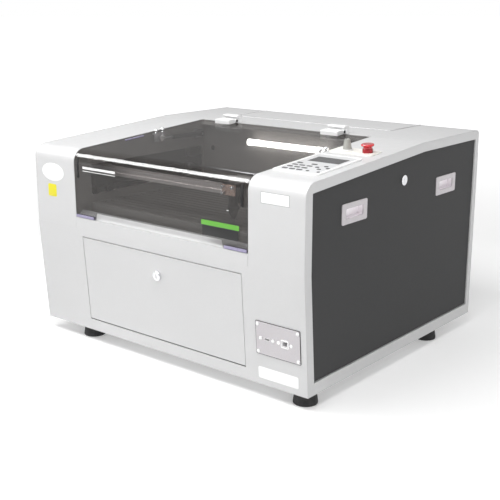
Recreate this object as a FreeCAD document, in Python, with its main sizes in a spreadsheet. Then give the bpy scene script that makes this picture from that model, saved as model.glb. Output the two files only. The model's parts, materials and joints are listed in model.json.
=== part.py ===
"""Desktop CO2 laser cutter: a bent-sheet cabinet with a tinted lid, a front clean-out door,
two lift-off side panels and a two-axis gantry.

Frame: millimetres, X to the right as seen from the front, front faces -Y, Z up.
The origin is on the floor, under the middle of the machine.
"""
import FreeCAD, Part
import math
import os
import re
import Sketcher

os.makedirs("parts", exist_ok=True)
doc = FreeCAD.newDocument("laser_cutter")
Vector = FreeCAD.Vector
X_AXIS = Vector(1, 0, 0)
Y_AXIS = Vector(0, 1, 0)
Z_AXIS = Vector(0, 0, 1)

# ---------------------------------------------------------------- driving dimensions
DIMENSIONS = {
    # cabinet outline
    "cab_width": 860, "cab_depth": 762, "foot_height": 32,
    "crease_rise": 271, "front_rise": 467, "top_rise": 499, "slope_run": 478, "lean_in": 19,
    "sheet": 2, "bend_radius": 34, "rear_radius": 12, "edge_round": 1.8,
    "duct_out": 30, "knob_out": 2,
    # lid and its opening
    "opening_half": 279, "lid_half": 277, "lid_thick": 5, "ear_rise": 301, "notch_half": 209,
    "notch_rise": 17, "notch_slant": 4, "lid_back_gap": 9, "ledge_rise": 15, "ledge_run": 21,
    "ledge_start": 7, "ledge_flange": 12,
    # lid hinges, in the frame of the sloping top
    "pin_run": 475, "pin_lift": 5, "hinge_x": 177, "hinge_half": 26, "pin_radius": 2.5,
    "barrel_radius": 5, "leaf_length": 32, "leaf_height": 11, "leaf_gap": 7, "knuckle_half": 12,
    "brow_height": 19, "brow_rear": 22,
    # gas struts
    "strut_x": 262, "strut_foot_run": 450, "strut_foot_rise": 462, "strut_head_run": 290,
    "strut_head_rise": 466, "tube_radius": 6, "rod_radius": 3, "strut_tube_length": 104,
    "eye_radius": 8, "eye_half": 4, "eye_neck": 12, "eye_bore": 3.1, "rod_start": 40,
    "rod_eye_radius": 7, "strut_pin_radius": 3, "foot_half_run": 14, "foot_half_rise": 12,
    "head_plate_in": 5.5, "head_plate_half": 18, "head_plate_drop": 9, "head_shelf_half": 20,
    "head_shelf_out": 13, "head_shelf_thick": 3, "lid_screw_in": 10, "lid_screw_radius": 2,
    "lid_screw_head": 3.5,
    # front door, in the frame of the leaning front
    "door_half": 258.5, "door_low": 32, "door_high": 249.5, "door_gap": 1.5, "door_flange": 10,
    "door_pivot_up": 3, "door_pivot_in": 5, "door_lock_rise": 197,
    # side panels
    "frame_front": 24, "frame_top": 23, "frame_rear": 18, "frame_foot": 28, "panel_gap": 1.5,
    "recess": 3, "lip": 12, "pull_length": 98, "pull_height": 46, "cup_length": 68,
    "cup_height": 22, "cup_depth": 15, "pull_low": 358, "pull_front_run": 134,
    "pull_rear_run": 545, "side_lock_run": 389, "side_lock_rise": 420,
    "lock_radius": 12, "barrel_lock_radius": 8,
    # base pan and its vents
    "pan_inset": 4, "pan_height": 24, "vent_x": 340, "vent_run": 200, "vent_length": 80,
    "vent_width": 6, "vent_pitch": 22,
    # work chamber, bed and lamp
    "slot_low": 346, "slot_high": 424, "slot_front": 55, "slot_rear": 470, "bed_top": 330,
    "bed_half": 262, "bed_wall": 6, "bed_front_run": 50, "bed_rear_gap": 12, "bed_depth": 32,
    "slat_start": 60, "slat_pitch": 21.5, "slat_thick": 2, "slat_height": 25,
    "slat_drop": 1, "angle_overlap": 7, "tray_half": 250, "tray_height": 60,
    "tray_front_run": 40, "wall_lip_run": 16, "wall_lip_drop": 12, "beam_hole_x": -245,
    "beam_hole_radius": 8,
    "lamp_left": -72, "lamp_length": 214, "lamp_radius": 8, "lamp_gap": 34, "lamp_rise": 455,
    "lamp_cap": 12, "lamp_arm": 8, "lamp_arm_half": 3,
    # motion system
    "rail_side": 20, "beam_run": 92, "beam_depth": 20, "beam_low": 396, "beam_high": 420,
    "head_x": 181, "head_half": 26, "shaft_run": 452, "shaft_rise": 366, "pulley_radius": 10,
    "belt_x": 312, "belt_front_run": 50, "belt_half": 5, "belt_thick": 1.5, "pulley_half": 4.5,
    "idler_pin_radius": 3, "idler_pin_in": 25, "shaft_radius": 5, "shaft_over": 10,
    "rail_front_run": 40, "rail_rear_gap": 10, "rail_height": 20, "rail_drop": 2,
    "track_in": 8, "track_out": 15, "track_depth": 4,
    "y_motor_in": 14, "y_motor_length": 54, "y_motor_rear": 24, "y_motor_half": 28,
    "mount_thick": 4, "mount_edge": 30, "mount_drop": 46, "mount_shelf_half": 18,
    "beam_half": 318, "beam_groove": 3, "beam_groove_inset": 8, "beam_bore_near": 8,
    "beam_bore_far": 16, "beam_bore_inset": 4,
    "carriage_in": 284, "carriage_out": 298, "carriage_reach": 22, "carriage_rise": 22,
    "wheel_in": 287.5, "wheel_radius": 11, "wheel_width": 6, "wheel_reach": 14,
    "wheel_rise": 5.3, "axle_radius": 4, "axle_half": 6, "clamp_reach": 4, "clamp_gap": 2.1,
    "x_motor_left": 214, "x_motor_right": 256, "x_motor_length": 40, "x_motor_drop": 14,
    "x_motor_rise": 28, "x_belt_half": 250, "x_belt_near": 6, "x_belt_far": 14,
    "x_belt_height": 14,
    # laser head, on the front of the beam
    "head_front": 8, "head_plate": 5, "head_plate_low": 22, "head_roof_low": 16,
    "head_roof_high": 20, "head_roof_over": 6, "roller_x": 16, "roller_radius": 3.2,
    "roller_length": 6, "tube_ahead": 24, "tube_low": 362, "tube_length": 46,
    "lens_radius": 11, "nozzle_length": 14, "nozzle_tip": 4, "nozzle_top": 9,
    "nozzle_bore": 1.5, "mirror_half": 18, "mirror_near": 38, "mirror_far": 12,
    "mirror_low": 404, "mirror_high": 430, "neck_half": 12, "neck_low": 384, "neck_high": 428,
    # console controls, in the frame of the sloping top
    "bezel_left": 286, "bezel_right": 407, "bezel_near": 70, "bezel_far": 248, "bezel_rim": 7,
    "display_left": 308, "display_right": 390, "display_near": 173, "display_far": 217,
    "key_left": 306, "key_near": 93, "key_pitch": 19.25, "key_row_pitch": 18.5,
    "small_key_left": 366, "small_key_right": 394,
    "arrows_x": 380, "arrows_run": 128, "arrows_reach": 14,
    "plate_left": 288, "plate_right": 404, "plate_near": 279, "plate_far": 332,
    "estop_x": 380, "knob_x": 325, "control_run": 305,
    "bezel_height": 3.6, "well_floor": 2.4, "display_height": 3.2, "key_half_x": 7.4,
    "key_half_y": 3.5, "small_key_half": 4, "arrow_half_x": 5, "arrow_half_y": 4,
    "plate_height": 3,
    # sockets plate, in the frame of the leaning front
    "io_left": 295, "io_right": 414, "io_low": 75, "io_high": 151, "usb_x": 325, "jack_x": 374,
    # rear
    "cover_half": 265, "cover_run": 590, "cover_drop": 60, "fan_x": 250, "fan_rise": 330,
    "fan_half": 60, "fan_depth": 40, "fan_bar": 4, "fan_bar_half": 3, "fan_boss_radius": 14,
    "rotor_radius": 16, "rotor_length": 20, "rotor_depth": 34, "blade_depth": 24,
    "blade_half": 8, "blade_gap": 5, "duct_wall": 2.5, "duct_radius": 50,
    "laser_run": 650, "laser_rise": 420, "laser_radius": 25, "laser_half": 310,
    "laser_end_half": 370, "holder_x": 220,
    "supply_left": -260, "supply_right": -90, "supply_run": 590, "supply_depth": 100,
    "supply_height": 140, "fin_pitch": 18, "fin_width": 8,
    "louvre_low": 30, "louvre_top_gap": 20,
    "board_left": 310, "board_right": 400, "board_run": 120, "board_depth": 150, "board_rise": 12,
    "board_thick": 2, "chip_length": 18, "chip_width": 14, "chip_height": 10, "chip_edge": 6,
    "chip_pitch_x": 30, "chip_pitch_y": 35, "post_radius": 4,
    "holder_wall": 8, "holder_half": 12,
    "inlet_left": -329.5, "inlet_right": -303.5, "inlet_low": 97, "inlet_high": 143,
    "inlet_flange": 3, "inlet_depth": 30, "inlet_wall": 2.5, "well_depth": 16, "well_low": 4,
    "well_high": 20, "pin_pitch": 6, "pin_half": 1, "pin_back": 18, "pin_tip": 6,
    "pin_low": 9, "pin_high": 15,
    # feet
    "foot_radius": 28, "foot_x": 394, "front_left_foot_x": 297, "foot_front_run": 60,
    "foot_rear_run": 590,
}
# places worked out from the driving dimensions, written as formulas
DERIVED = {
    "half_width": "cab_width / 2",
    "front_y": "-(cab_depth + duct_out - knob_out) / 2",
    "rear_y": "front_y + cab_depth",
    "break_y": "front_y + slope_run",
    "low_y": "front_y + lean_in",
    "floor_z": "foot_height",
    "crease_z": "foot_height + crease_rise",
    "front_z": "foot_height + front_rise",
    "top_z": "foot_height + top_rise",
    "rise": "(top_rise - front_rise) / slope_run",
    "lean": "lean_in / crease_rise",
    "slope_angle": "atan(rise)",
    "lean_angle": "atan(lean)",
    "pin_y": "front_y + pin_run * cos(slope_angle) - pin_lift * sin(slope_angle)",
    "pin_z": "front_z + pin_run * sin(slope_angle) + pin_lift * cos(slope_angle)",
    "shaft_y": "front_y + shaft_run",
    "shaft_z": "foot_height + shaft_rise",
    "beam_y": "front_y + beam_run",
}

sheet = doc.addObject("Spreadsheet::Sheet", "dims")
for row, (alias, number) in enumerate(DIMENSIONS.items(), start=1):
    sheet.set(f"A{row}", alias)
    sheet.set(f"B{row}", str(number))
    sheet.setAlias(f"B{row}", alias)
doc.recompute()


def formula(text):
    """Write a formula in the sheet's own aliases, with the derived names opened out."""
    def swap(match):
        word = match.group(0)
        if word in DERIVED:
            return "(" + formula(DERIVED[word]) + ")"
        return "dims." + word if word in DIMENSIONS else word
    return re.sub(r"[a-z_][a-z_0-9]*", swap, str(text))


def bind(thing, prop, text):
    thing.setExpression(prop, formula(text))


def dim(alias):
    return float(DIMENSIONS[alias])


# ---------------------------------------------------------------- building blocks
count = {}


def fresh(stem):
    count[stem] = count.get(stem, 0) + 1
    return f"{stem}_{count[stem]}"


def place(thing, corner):
    for letter, text in zip("xyz", corner):
        bind(thing, f"Placement.Base.{letter}", text)
    return thing


def block(x, y, z):
    """A box between two formulas along each axis."""
    box = doc.addObject("Part::Box", fresh("block"))
    for prop, (low, high) in zip(("Length", "Width", "Height"), (x, y, z)):
        bind(box, prop, f"({high}) - ({low})")
    return place(box, (x[0], y[0], z[0]))


TURN = {"x": FreeCAD.Rotation(Y_AXIS, 90), "y": FreeCAD.Rotation(X_AXIS, -90),
        "z": FreeCAD.Rotation()}


def rod(axis, radius, length, start):
    """A cylinder that runs along an axis from its start point."""
    bar = doc.addObject("Part::Cylinder", fresh("rod"))
    bind(bar, "Radius", radius)
    bind(bar, "Height", length)
    bar.Placement.Rotation = TURN[axis]
    return place(bar, start)


def taper(axis, radius, end_radius, length, start):
    bar = doc.addObject("Part::Cone", fresh("taper"))
    bind(bar, "Radius1", radius)
    bind(bar, "Radius2", end_radius)
    bind(bar, "Height", length)
    bar.Placement.Rotation = TURN[axis]
    return place(bar, start)


def fuse(*things, refine=True):
    if len(things) == 1:
        return things[0]
    joined = doc.addObject("Part::MultiFuse", fresh("fuse"))
    joined.Shapes = list(things)
    joined.Refine = refine
    return joined


def cut(base, *tools):
    result = doc.addObject("Part::Cut", fresh("cut"))
    result.Base = base
    result.Tool = fuse(*tools)
    return result


def group(*things):
    together = doc.addObject("Part::Compound", fresh("group"))
    together.Links = list(things)
    return together


def rounded(thing, radius, wanted):
    """Round the edges that the test picks out."""
    doc.recompute()
    picked = [i for i, edge in enumerate(thing.Shape.Edges, start=1) if wanted(edge)]
    if not picked:
        raise RuntimeError(f"no edge to round on {thing.Name}")
    fillet = doc.addObject("Part::Fillet", fresh("fillet"))
    fillet.Base = thing
    fillet.Edges = [(i, radius, radius) for i in picked]
    return fillet


def along(axis):
    """A test for straight edges parallel to an axis."""
    def test(edge):
        if not isinstance(edge.Curve, Part.Line):
            return False
        return abs(abs(edge.Curve.Direction.dot(axis)) - 1) < 1e-6
    return test


def on_corner(point):
    """A test for the edge along X that stands on one corner of a Y-Z sketch."""
    def test(edge):
        middle = edge.CenterOfMass
        return along(X_AXIS)(edge) and math.hypot(middle.y - point.x, middle.z - point.y) < 0.01
    return test


def at_height(level, tolerance=0.01):
    def test(edge):
        box = edge.BoundBox
        return abs(box.ZMin - level) < tolerance and abs(box.ZMax - level) < tolerance
    return test


PLANES = {"x": "YZ_Plane", "y": "XZ_Plane", "z": "XY_Plane"}


def outline_sketch(body, plane, loops, offset):
    sketch = body.newObject("Sketcher::SketchObject", fresh("outline"))
    origin = [o for o in body.Origin.OriginFeatures if o.Role == PLANES[plane]][0]
    sketch.AttachmentSupport = [(origin, "")]
    sketch.MapMode = "FlatFace"
    bind(sketch, "AttachmentOffset.Base.z", offset)
    for loop in loops:
        draw_loop(sketch, loop)
    return sketch


def draw_loop(sketch, points):
    """A closed polygon whose corners are held at formulas."""
    first = sketch.GeometryCount
    total = len(points)
    ring = [Vector(100 * math.cos(2 * math.pi * i / total), 100 * math.sin(2 * math.pi * i / total), 0)
            for i in range(total)]
    for i in range(total):
        sketch.addGeometry(Part.LineSegment(ring[i], ring[(i + 1) % total]))
    for i in range(total):
        here, following = first + i, first + (i + 1) % total
        sketch.addConstraint(Sketcher.Constraint("Coincident", here, 2, following, 1))
    for i, (across, up) in enumerate(points):
        for kind, text, start in (("DistanceX", across, ring[i].x), ("DistanceY", up, ring[i].y)):
            held = sketch.addConstraint(Sketcher.Constraint(kind, -1, 1, first + i, 1, start))
            bind(sketch, f"Constraints[{held}]", text)


def prism(plane, loops, low, high):
    """A PartDesign body: a sketch, with any holes as further loops, padded between two formulas."""
    body = doc.addObject("PartDesign::Body", fresh("body"))
    # the XZ plane's normal is -Y, so there the pad starts from the far side
    start = f"-({high})" if plane == "y" else low
    pad_from = outline_sketch(body, plane, loops, start)
    pad = body.newObject("PartDesign::Pad", fresh("pad"))
    pad.Profile = pad_from
    bind(pad, "Length", f"({high}) - ({low})")
    body.Tip = pad
    return body


def bent(points, low, high, bends):
    """A sheet bent along X: a profile in Y and Z, with radii at the corners that bends names."""
    body = prism("x", [points], low, high)
    doc.recompute()
    sketch = body.Tip.Profile[0]
    for corner, radius in bends.items():
        straight = body.Tip
        at = sketch.Geometry[corner].StartPoint
        names = [f"Edge{i}" for i, edge in enumerate(straight.Shape.Edges, start=1)
                 if on_corner(at)(edge)]
        fillet = body.newObject("PartDesign::Fillet", fresh("bend"))
        fillet.Base = (straight, names)
        bind(fillet, "Radius", radius)
        body.Tip = fillet
        doc.recompute()
    return body


def soften_rim(thing, side_x, radius, inner_y, inner_z):
    """Round the outer rim of a folded sheet where it ends at a given X."""
    doc.recompute()
    shape = thing.Shape
    inward = Vector(0, inner_y, inner_z)

    def outer(edge):
        box = edge.BoundBox
        if abs(box.XMin - side_x) > 0.01 or abs(box.XMax - side_x) > 0.01:
            return False
        first, last = edge.ParameterRange
        middle = edge.valueAt((first + last) / 2)
        if edge.Length < 2.5 * dim("sheet"):
            return False
        step = (inward - Vector(0, middle.y, middle.z)).normalize() * 0.7
        probe = middle + step
        probe.x -= math.copysign(0.5, side_x - shape.BoundBox.Center.x)
        return shape.isInside(probe, 0.01, False)
    return rounded(thing, radius, outer)


def loose(thing):
    """A primitive keeps its corner in its placement, so it is wrapped before it is tilted."""
    primitives = ("Part::Box", "Part::Cylinder", "Part::Cone")
    return group(thing) if thing.TypeId in primitives else thing


def on_slope(thing):
    """Set a piece down on the sloping top: its own Y runs up the slope, its Z is the normal."""
    thing = loose(thing)
    thing.Placement = FreeCAD.Placement(Vector(), FreeCAD.Rotation(X_AXIS, 3.8))
    place(thing, ("0", "front_y", "front_z"))
    bind(thing, "Placement.Rotation.Angle", "slope_angle")
    return thing


def on_lean(thing):
    """Set a piece against the leaning front: its own Z runs up the front, -Y points outward."""
    thing = loose(thing)
    thing.Placement = FreeCAD.Placement(Vector(), FreeCAD.Rotation(X_AXIS, 4))
    place(thing, ("0", "low_y", "floor_z"))
    bind(thing, "Placement.Rotation.Angle", "lean_angle")
    return thing


def mirrored(thing):
    twin = doc.addObject("Part::Mirroring", fresh("mirror"))
    twin.Source = thing
    twin.Base = Vector(0, 0, 0)
    twin.Normal = X_AXIS
    return twin


NODES = {}


def node(name, thing):
    thing.Label = name
    NODES[name] = thing
    return thing


def pair(maker):
    """The right-hand piece as built and its mirror image, as one group."""
    return group(maker, mirrored(maker))


SPAN = ("-half_width", "half_width")


def outline(front, top, rear, foot):
    """The cabinet's six-cornered side outline, drawn in by a margin on each side."""
    return [
        (f"low_y - lean * ({foot}) + ({front})", f"floor_z + ({foot})"),
        (f"front_y + ({front})", "crease_z"),
        (f"front_y + ({front})", f"front_z + rise * ({front}) - ({top})"),
        ("break_y", f"top_z - ({top})"),
        (f"rear_y - ({rear})", f"top_z - ({top})"),
        (f"rear_y - ({rear})", f"floor_z + ({foot})"),
    ]


# ---------------------------------------------------------------- cabinet
def make_base():
    inset = "pan_inset"
    wall = "pan_inset + sheet"
    pan = cut(block((f"-half_width + {inset}", f"half_width - {inset}"),
                    (f"low_y + {inset}", f"rear_y - {inset}"), ("floor_z", "floor_z + pan_height")),
              block((f"-half_width + {wall}", f"half_width - ({wall})"),
                    (f"low_y + {wall}", f"rear_y - ({wall})"),
                    ("floor_z + sheet", "floor_z + pan_height + 1")))
    vents = []
    for side in (-1, 1):
        for step in range(6):
            x = f"{side} * vent_x - vent_length / 2"
            y = f"front_y + vent_run + {step} * vent_pitch"
            vents.append(block((x, f"{x} + vent_length"), (y, f"{y} + vent_width"),
                               ("floor_z - 1", "floor_z + sheet + 1")))
    # the chamber side walls stand in notches of the front rim
    notches = [block((low, f"{low} + sheet + 2"), ("low_y + pan_inset - 1", f"low_y + {wall} + 1"),
                     ("floor_z + sheet", "floor_z + pan_height + 1"))
               for low in ("opening_half - 1", "-opening_half - sheet - 1")]
    node("base_pan", cut(pan, *vents, *notches))


def make_front():
    lower = prism("x", [[("low_y", "floor_z"), ("front_y", "crease_z"),
                         ("front_y + sheet", "crease_z"), ("low_y + sheet", "floor_z")]], *SPAN)
    sill = "floor_z + ear_rise - 2"
    upper = prism("x", [[
        ("front_y", "crease_z"), ("front_y", sill), ("front_y + ledge_start", sill),
        ("front_y + ledge_run", f"{sill} + ledge_rise"),
        ("front_y + ledge_run + sheet", f"{sill} + ledge_rise"),
        ("front_y + ledge_run + sheet", f"{sill} + ledge_rise - ledge_flange"),
        ("front_y + ledge_run", f"{sill} + ledge_rise - ledge_flange"),
        ("front_y + ledge_run", f"{sill} + ledge_rise - 1.5 * sheet"),
        ("front_y + ledge_start + 1", f"{sill} - sheet"),
        ("front_y + sheet", f"{sill} - sheet"), ("front_y + sheet", "crease_z")]],
        "-opening_half", "opening_half")
    hole = block(("-door_half - door_gap", "door_half + door_gap"), ("front_y - 5", "front_y + 40"),
                 ("floor_z + door_low - 2.5", "floor_z + door_high + door_gap"))
    io_hole = block(("io_left + 8", "io_right - 8"), ("front_y - 5", "front_y + 40"),
                    ("floor_z + io_low + 12", "floor_z + io_high - 12"))
    ears = [on_lean(cut(block((f"{s} - 1.5", f"{s} + 1.5"), ("sheet - 0.5", "14"),
                              ("door_low - 1", "door_low + 16")),
                        rod("x", "pin_radius", "8",
                            (f"{s} - 4", "door_pivot_in", "door_low + door_pivot_up"))))
            for s in ("door_half + 4", "-door_half - 4")]
    node("front_panel", fuse(cut(fuse(lower, upper), hole, io_hole), *ears))


def console(side):
    """One of the two consoles beside the lid: vertical front, bend and sloping top."""
    low, high = ("opening_half", "half_width") if side > 0 else ("-half_width", "-opening_half")
    top_t = "sheet / cos(slope_angle)"
    profile = [("front_y", "crease_z"), ("front_y", "front_z"), ("break_y", "top_z"),
               ("break_y", f"top_z - {top_t}"),
               ("front_y + sheet", f"front_z + rise * sheet - {top_t}"),
               ("front_y + sheet", "crease_z")]
    body = bent(profile, low, high, {1: "bend_radius", 4: "bend_radius - sheet"})
    inner = (dim("slope_run") - 700, dim("foot_height") + 250)
    edge = side * dim("cab_width") / 2
    body = soften_rim(body, edge, dim("edge_round"), *inner)
    return soften_rim(body, side * dim("opening_half"), dim("edge_round"), *inner)


def make_consoles():
    left = console(-1)
    right = console(1)
    holes = on_slope(fuse(
        rod("z", "11", "40", ("estop_x", "control_run", "-20")),
        rod("z", "5", "40", ("knob_x", "control_run", "-20")),
        block(("bezel_left + 12", "bezel_right - 12"), ("bezel_near + 12", "bezel_far - 12"),
              ("-20", "20"))))
    node("left_console", left)
    node("right_console", cut(right, holes))


def side_frame(side):
    """A welded frame round the side panel: the face, a return and the lip the panel closes on."""
    def slab(loops, near, far):
        if side > 0:
            return prism("x", loops, f"half_width - ({far})", f"half_width - ({near})")
        return prism("x", loops, f"-half_width + ({near})", f"-half_width + ({far})")

    def inset(extra):
        return outline(f"frame_front + {extra}", f"frame_top + {extra}",
                       f"frame_rear + {extra}", f"frame_foot + {extra}")
    face = slab([outline(*["sheet + 0.1"] * 3, "0"), inset(0)], "0", "sheet")
    doc.recompute()
    top_corner = face.Tip.Profile[0].Geometry[2].StartPoint
    rear_corner = face.Tip.Profile[0].Geometry[4].StartPoint
    face = rounded(face, dim("bend_radius") - dim("sheet"), on_corner(top_corner))
    face = rounded(face, dim("rear_radius") - dim("sheet"), on_corner(rear_corner))
    depth = "recess + sheet + 0.4"
    wall = slab([inset("-sheet"), inset(0)], "0.5", f"{depth} + sheet")
    stop = slab([inset(0), inset("lip")], depth, f"{depth} + sheet")
    return fuse(face, wall, stop)


def make_rear():
    deck = bent([("break_y", "top_z"), ("rear_y", "top_z"), ("rear_y", "top_z - cover_drop"),
                 ("rear_y - sheet", "top_z - cover_drop"), ("rear_y - sheet", "top_z - sheet"),
                 ("break_y", "top_z - sheet")], *SPAN,
                {1: "rear_radius", 4: "rear_radius - sheet"})
    centre = (dim("slope_run") - 200, dim("foot_height") + 300)
    for side in (-1, 1):
        deck = soften_rim(deck, side * dim("cab_width") / 2, dim("edge_round"), *centre)
    opening = block(("-cover_half - 1", "cover_half + 1"), ("front_y + cover_run - 1", "rear_y + 5"),
                    ("top_z - cover_drop - 5", "top_z + 5"))
    lips = [block(("-cover_half - 9", "cover_half + 9"),
                  ("front_y + cover_run - 9", "front_y + cover_run + 10"),
                  ("top_z - 2 * sheet", "top_z - sheet"))]
    for low, high in (("-cover_half - 9", "-cover_half + 10"), ("cover_half - 10", "cover_half + 9")):
        lips.append(block((low, high), ("front_y + cover_run - 9", "rear_y - 20"),
                          ("top_z - 2 * sheet", "top_z - sheet")))
    node("rear_deck", fuse(cut(deck, opening), *lips))

    cover = bent([("front_y + cover_run", "top_z"), ("rear_y", "top_z"),
                  ("rear_y", "top_z - cover_drop + 1"), ("rear_y - sheet", "top_z - cover_drop + 1"),
                  ("rear_y - sheet", "top_z - sheet"), ("front_y + cover_run", "top_z - sheet")],
                 "-cover_half", "cover_half", {1: "rear_radius", 4: "rear_radius - sheet"})
    screws = [rod("y", "4", "1.5", (f"{s} * (cover_half - 30)", "rear_y", "top_z - 35"))
              for s in (-1, 1)]
    node("rear_cover", fuse(cover, *screws))

    back = block(SPAN, ("rear_y - sheet", "rear_y"), ("floor_z", "top_z - cover_drop"))
    holes = [rod("y", "duct_radius + 1", "10", ("fan_x", "rear_y - 5", "floor_z + fan_rise")),
             block(("inlet_left - 0.5", "inlet_right + 0.5"), ("rear_y - 5", "rear_y + 5"),
                   ("floor_z + inlet_low - 1", "floor_z + inlet_high + 1"))]
    for step in range(8):
        low = f"floor_z + 60 + {step * 14}"
        holes.append(block(("-90", "90"), ("rear_y - 5", "rear_y + 5"), (low, f"{low} + 5")))
    node("rear_panel", cut(back, *holes))


def make_feet():
    places = [("foot_x", "foot_front_run"), ("-front_left_foot_x", "foot_front_run"),
              ("foot_x", "foot_rear_run"), ("-front_left_foot_x", "foot_rear_run")]
    pads = []
    for x, run in places:
        y = f"front_y + {run}"
        pad = fuse(rod("z", "foot_radius", "5", (x, y, "0")),
                   taper("z", "foot_radius", "foot_radius - 4", "foot_height - 5", (x, y, "5")))
        bore = fuse(rod("z", "9", "8", (x, y, "-1")), rod("z", "4", "foot_height + 2", (x, y, "-1")))
        pads.append(cut(rounded(pad, 2, at_height(0)), bore))
    node("foot_pads", group(*pads))


# ---------------------------------------------------------------- lid and its hinges
STRUT_SCREWS = ("- 12", "+ 12")  # the screws of a strut bracket, before and behind its pivot


def make_lid():
    low_z = "floor_z + ear_rise"
    inner = "lid_thick / cos(slope_angle)"
    back = "break_y - lid_back_gap"
    profile = [("front_y", low_z), ("front_y", "front_z"),
               (back, "front_z + rise * (slope_run - lid_back_gap)"),
               (back, f"front_z + rise * (slope_run - lid_back_gap) - {inner}"),
               ("front_y + lid_thick", f"front_z + rise * lid_thick - {inner}"),
               ("front_y + lid_thick", low_z)]
    shell = bent(profile, "-lid_half", "lid_half",
                 {1: "bend_radius", 4: "bend_radius - lid_thick"})
    notch = prism("y", [[("-notch_half", f"{low_z} - 1"), ("notch_half", f"{low_z} - 1"),
                         ("notch_half - notch_slant", f"{low_z} + notch_rise"),
                         ("-notch_half + notch_slant", f"{low_z} + notch_rise")]],
                  "front_y - 1", "front_y + lid_thick + 1")
    holes = [on_slope(rod("z", "lid_screw_radius", "4 * lid_thick",
                          (f"{side} * (lid_half - lid_screw_in)", f"strut_head_run {step}",
                           "-2 * lid_thick")))
             for side in (-1, 1) for step in STRUT_SCREWS]
    node("lid", cut(shell, notch, *holes))


def hinge_leaf(side):
    """The leaf on the lid: a low block and the middle knuckle."""
    x = f"{side} * hinge_x"
    leaf = block((f"{x} - hinge_half", f"{x} + hinge_half"),
                 ("pin_run - leaf_length", "pin_run - leaf_gap"), ("0", "leaf_height"))
    leaf = rounded(leaf, 2, lambda e: along(X_AXIS)(e) and e.BoundBox.ZMin > 10)
    middle = (f"{x} - knuckle_half", f"{x} + knuckle_half")
    knuckle = fuse(rod("x", "barrel_radius", "2 * knuckle_half", (middle[0], "pin_run", "pin_lift")),
                   block(middle, ("pin_run - leaf_gap - 1", "pin_run"),
                         ("pin_lift - 4", "pin_lift + barrel_radius")))
    bore = rod("x", "pin_radius + 0.1", "2 * hinge_half", (f"{x} - hinge_half", "pin_run", "pin_lift"))
    return on_slope(cut(fuse(leaf, knuckle), bore))


def deck_leaf(side):
    """The leaf on the deck: a taller block, whose brow hangs over the pin, and the end knuckles."""
    x = f"{side} * hinge_x"
    behind = "barrel_radius + 4"
    brow = "top_z + brow_height"
    body = prism("x", [[(f"pin_y + {behind}", "top_z"), (f"pin_y + {behind}", f"{brow} - 7"),
                        ("pin_y + 1.5", f"{brow} - 4.5"), ("pin_y + 1.5", f"{brow} - 1.5"),
                        ("pin_y + 4", brow), ("pin_y + brow_rear - 3", brow),
                        ("pin_y + brow_rear", f"{brow} - 3"), ("pin_y + brow_rear", "top_z")]],
                 f"{x} - hinge_half", f"{x} + hinge_half")
    pieces = [body]
    for low, high in ((f"{x} - hinge_half", f"{x} - knuckle_half - 0.5"),
                      (f"{x} + knuckle_half + 0.5", f"{x} + hinge_half")):
        pieces.append(rod("x", "barrel_radius", f"({high}) - ({low})", (low, "pin_y", "pin_z")))
        pieces.append(block((low, high), ("pin_y", f"pin_y + {behind} + 1"), ("top_z", "pin_z + 3")))
    bore = rod("x", "pin_radius", "2 * hinge_half", (f"{x} - hinge_half", "pin_y", "pin_z"))
    return cut(fuse(*pieces), bore)


def make_hinges():
    node("lid_hinge_leaves", group(hinge_leaf(-1), hinge_leaf(1)))
    node("deck_hinge_leaves", group(deck_leaf(-1), deck_leaf(1)))


def make_pins():
    """The plain pins of the lid hinges and of the front door."""
    lid_pins = [rod("x", "pin_radius", "2 * hinge_half",
                    (f"{s} * hinge_x - hinge_half", "pin_y", "pin_z")) for s in (-1, 1)]
    door_pins = [rod("x", "pin_radius", "16", (start, "door_pivot_in", "door_low + door_pivot_up"))
                 for start in ("door_half - 10", "-door_half - 6")]
    node("hinge_pins", group(*lid_pins, on_lean(group(*door_pins))))


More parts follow.
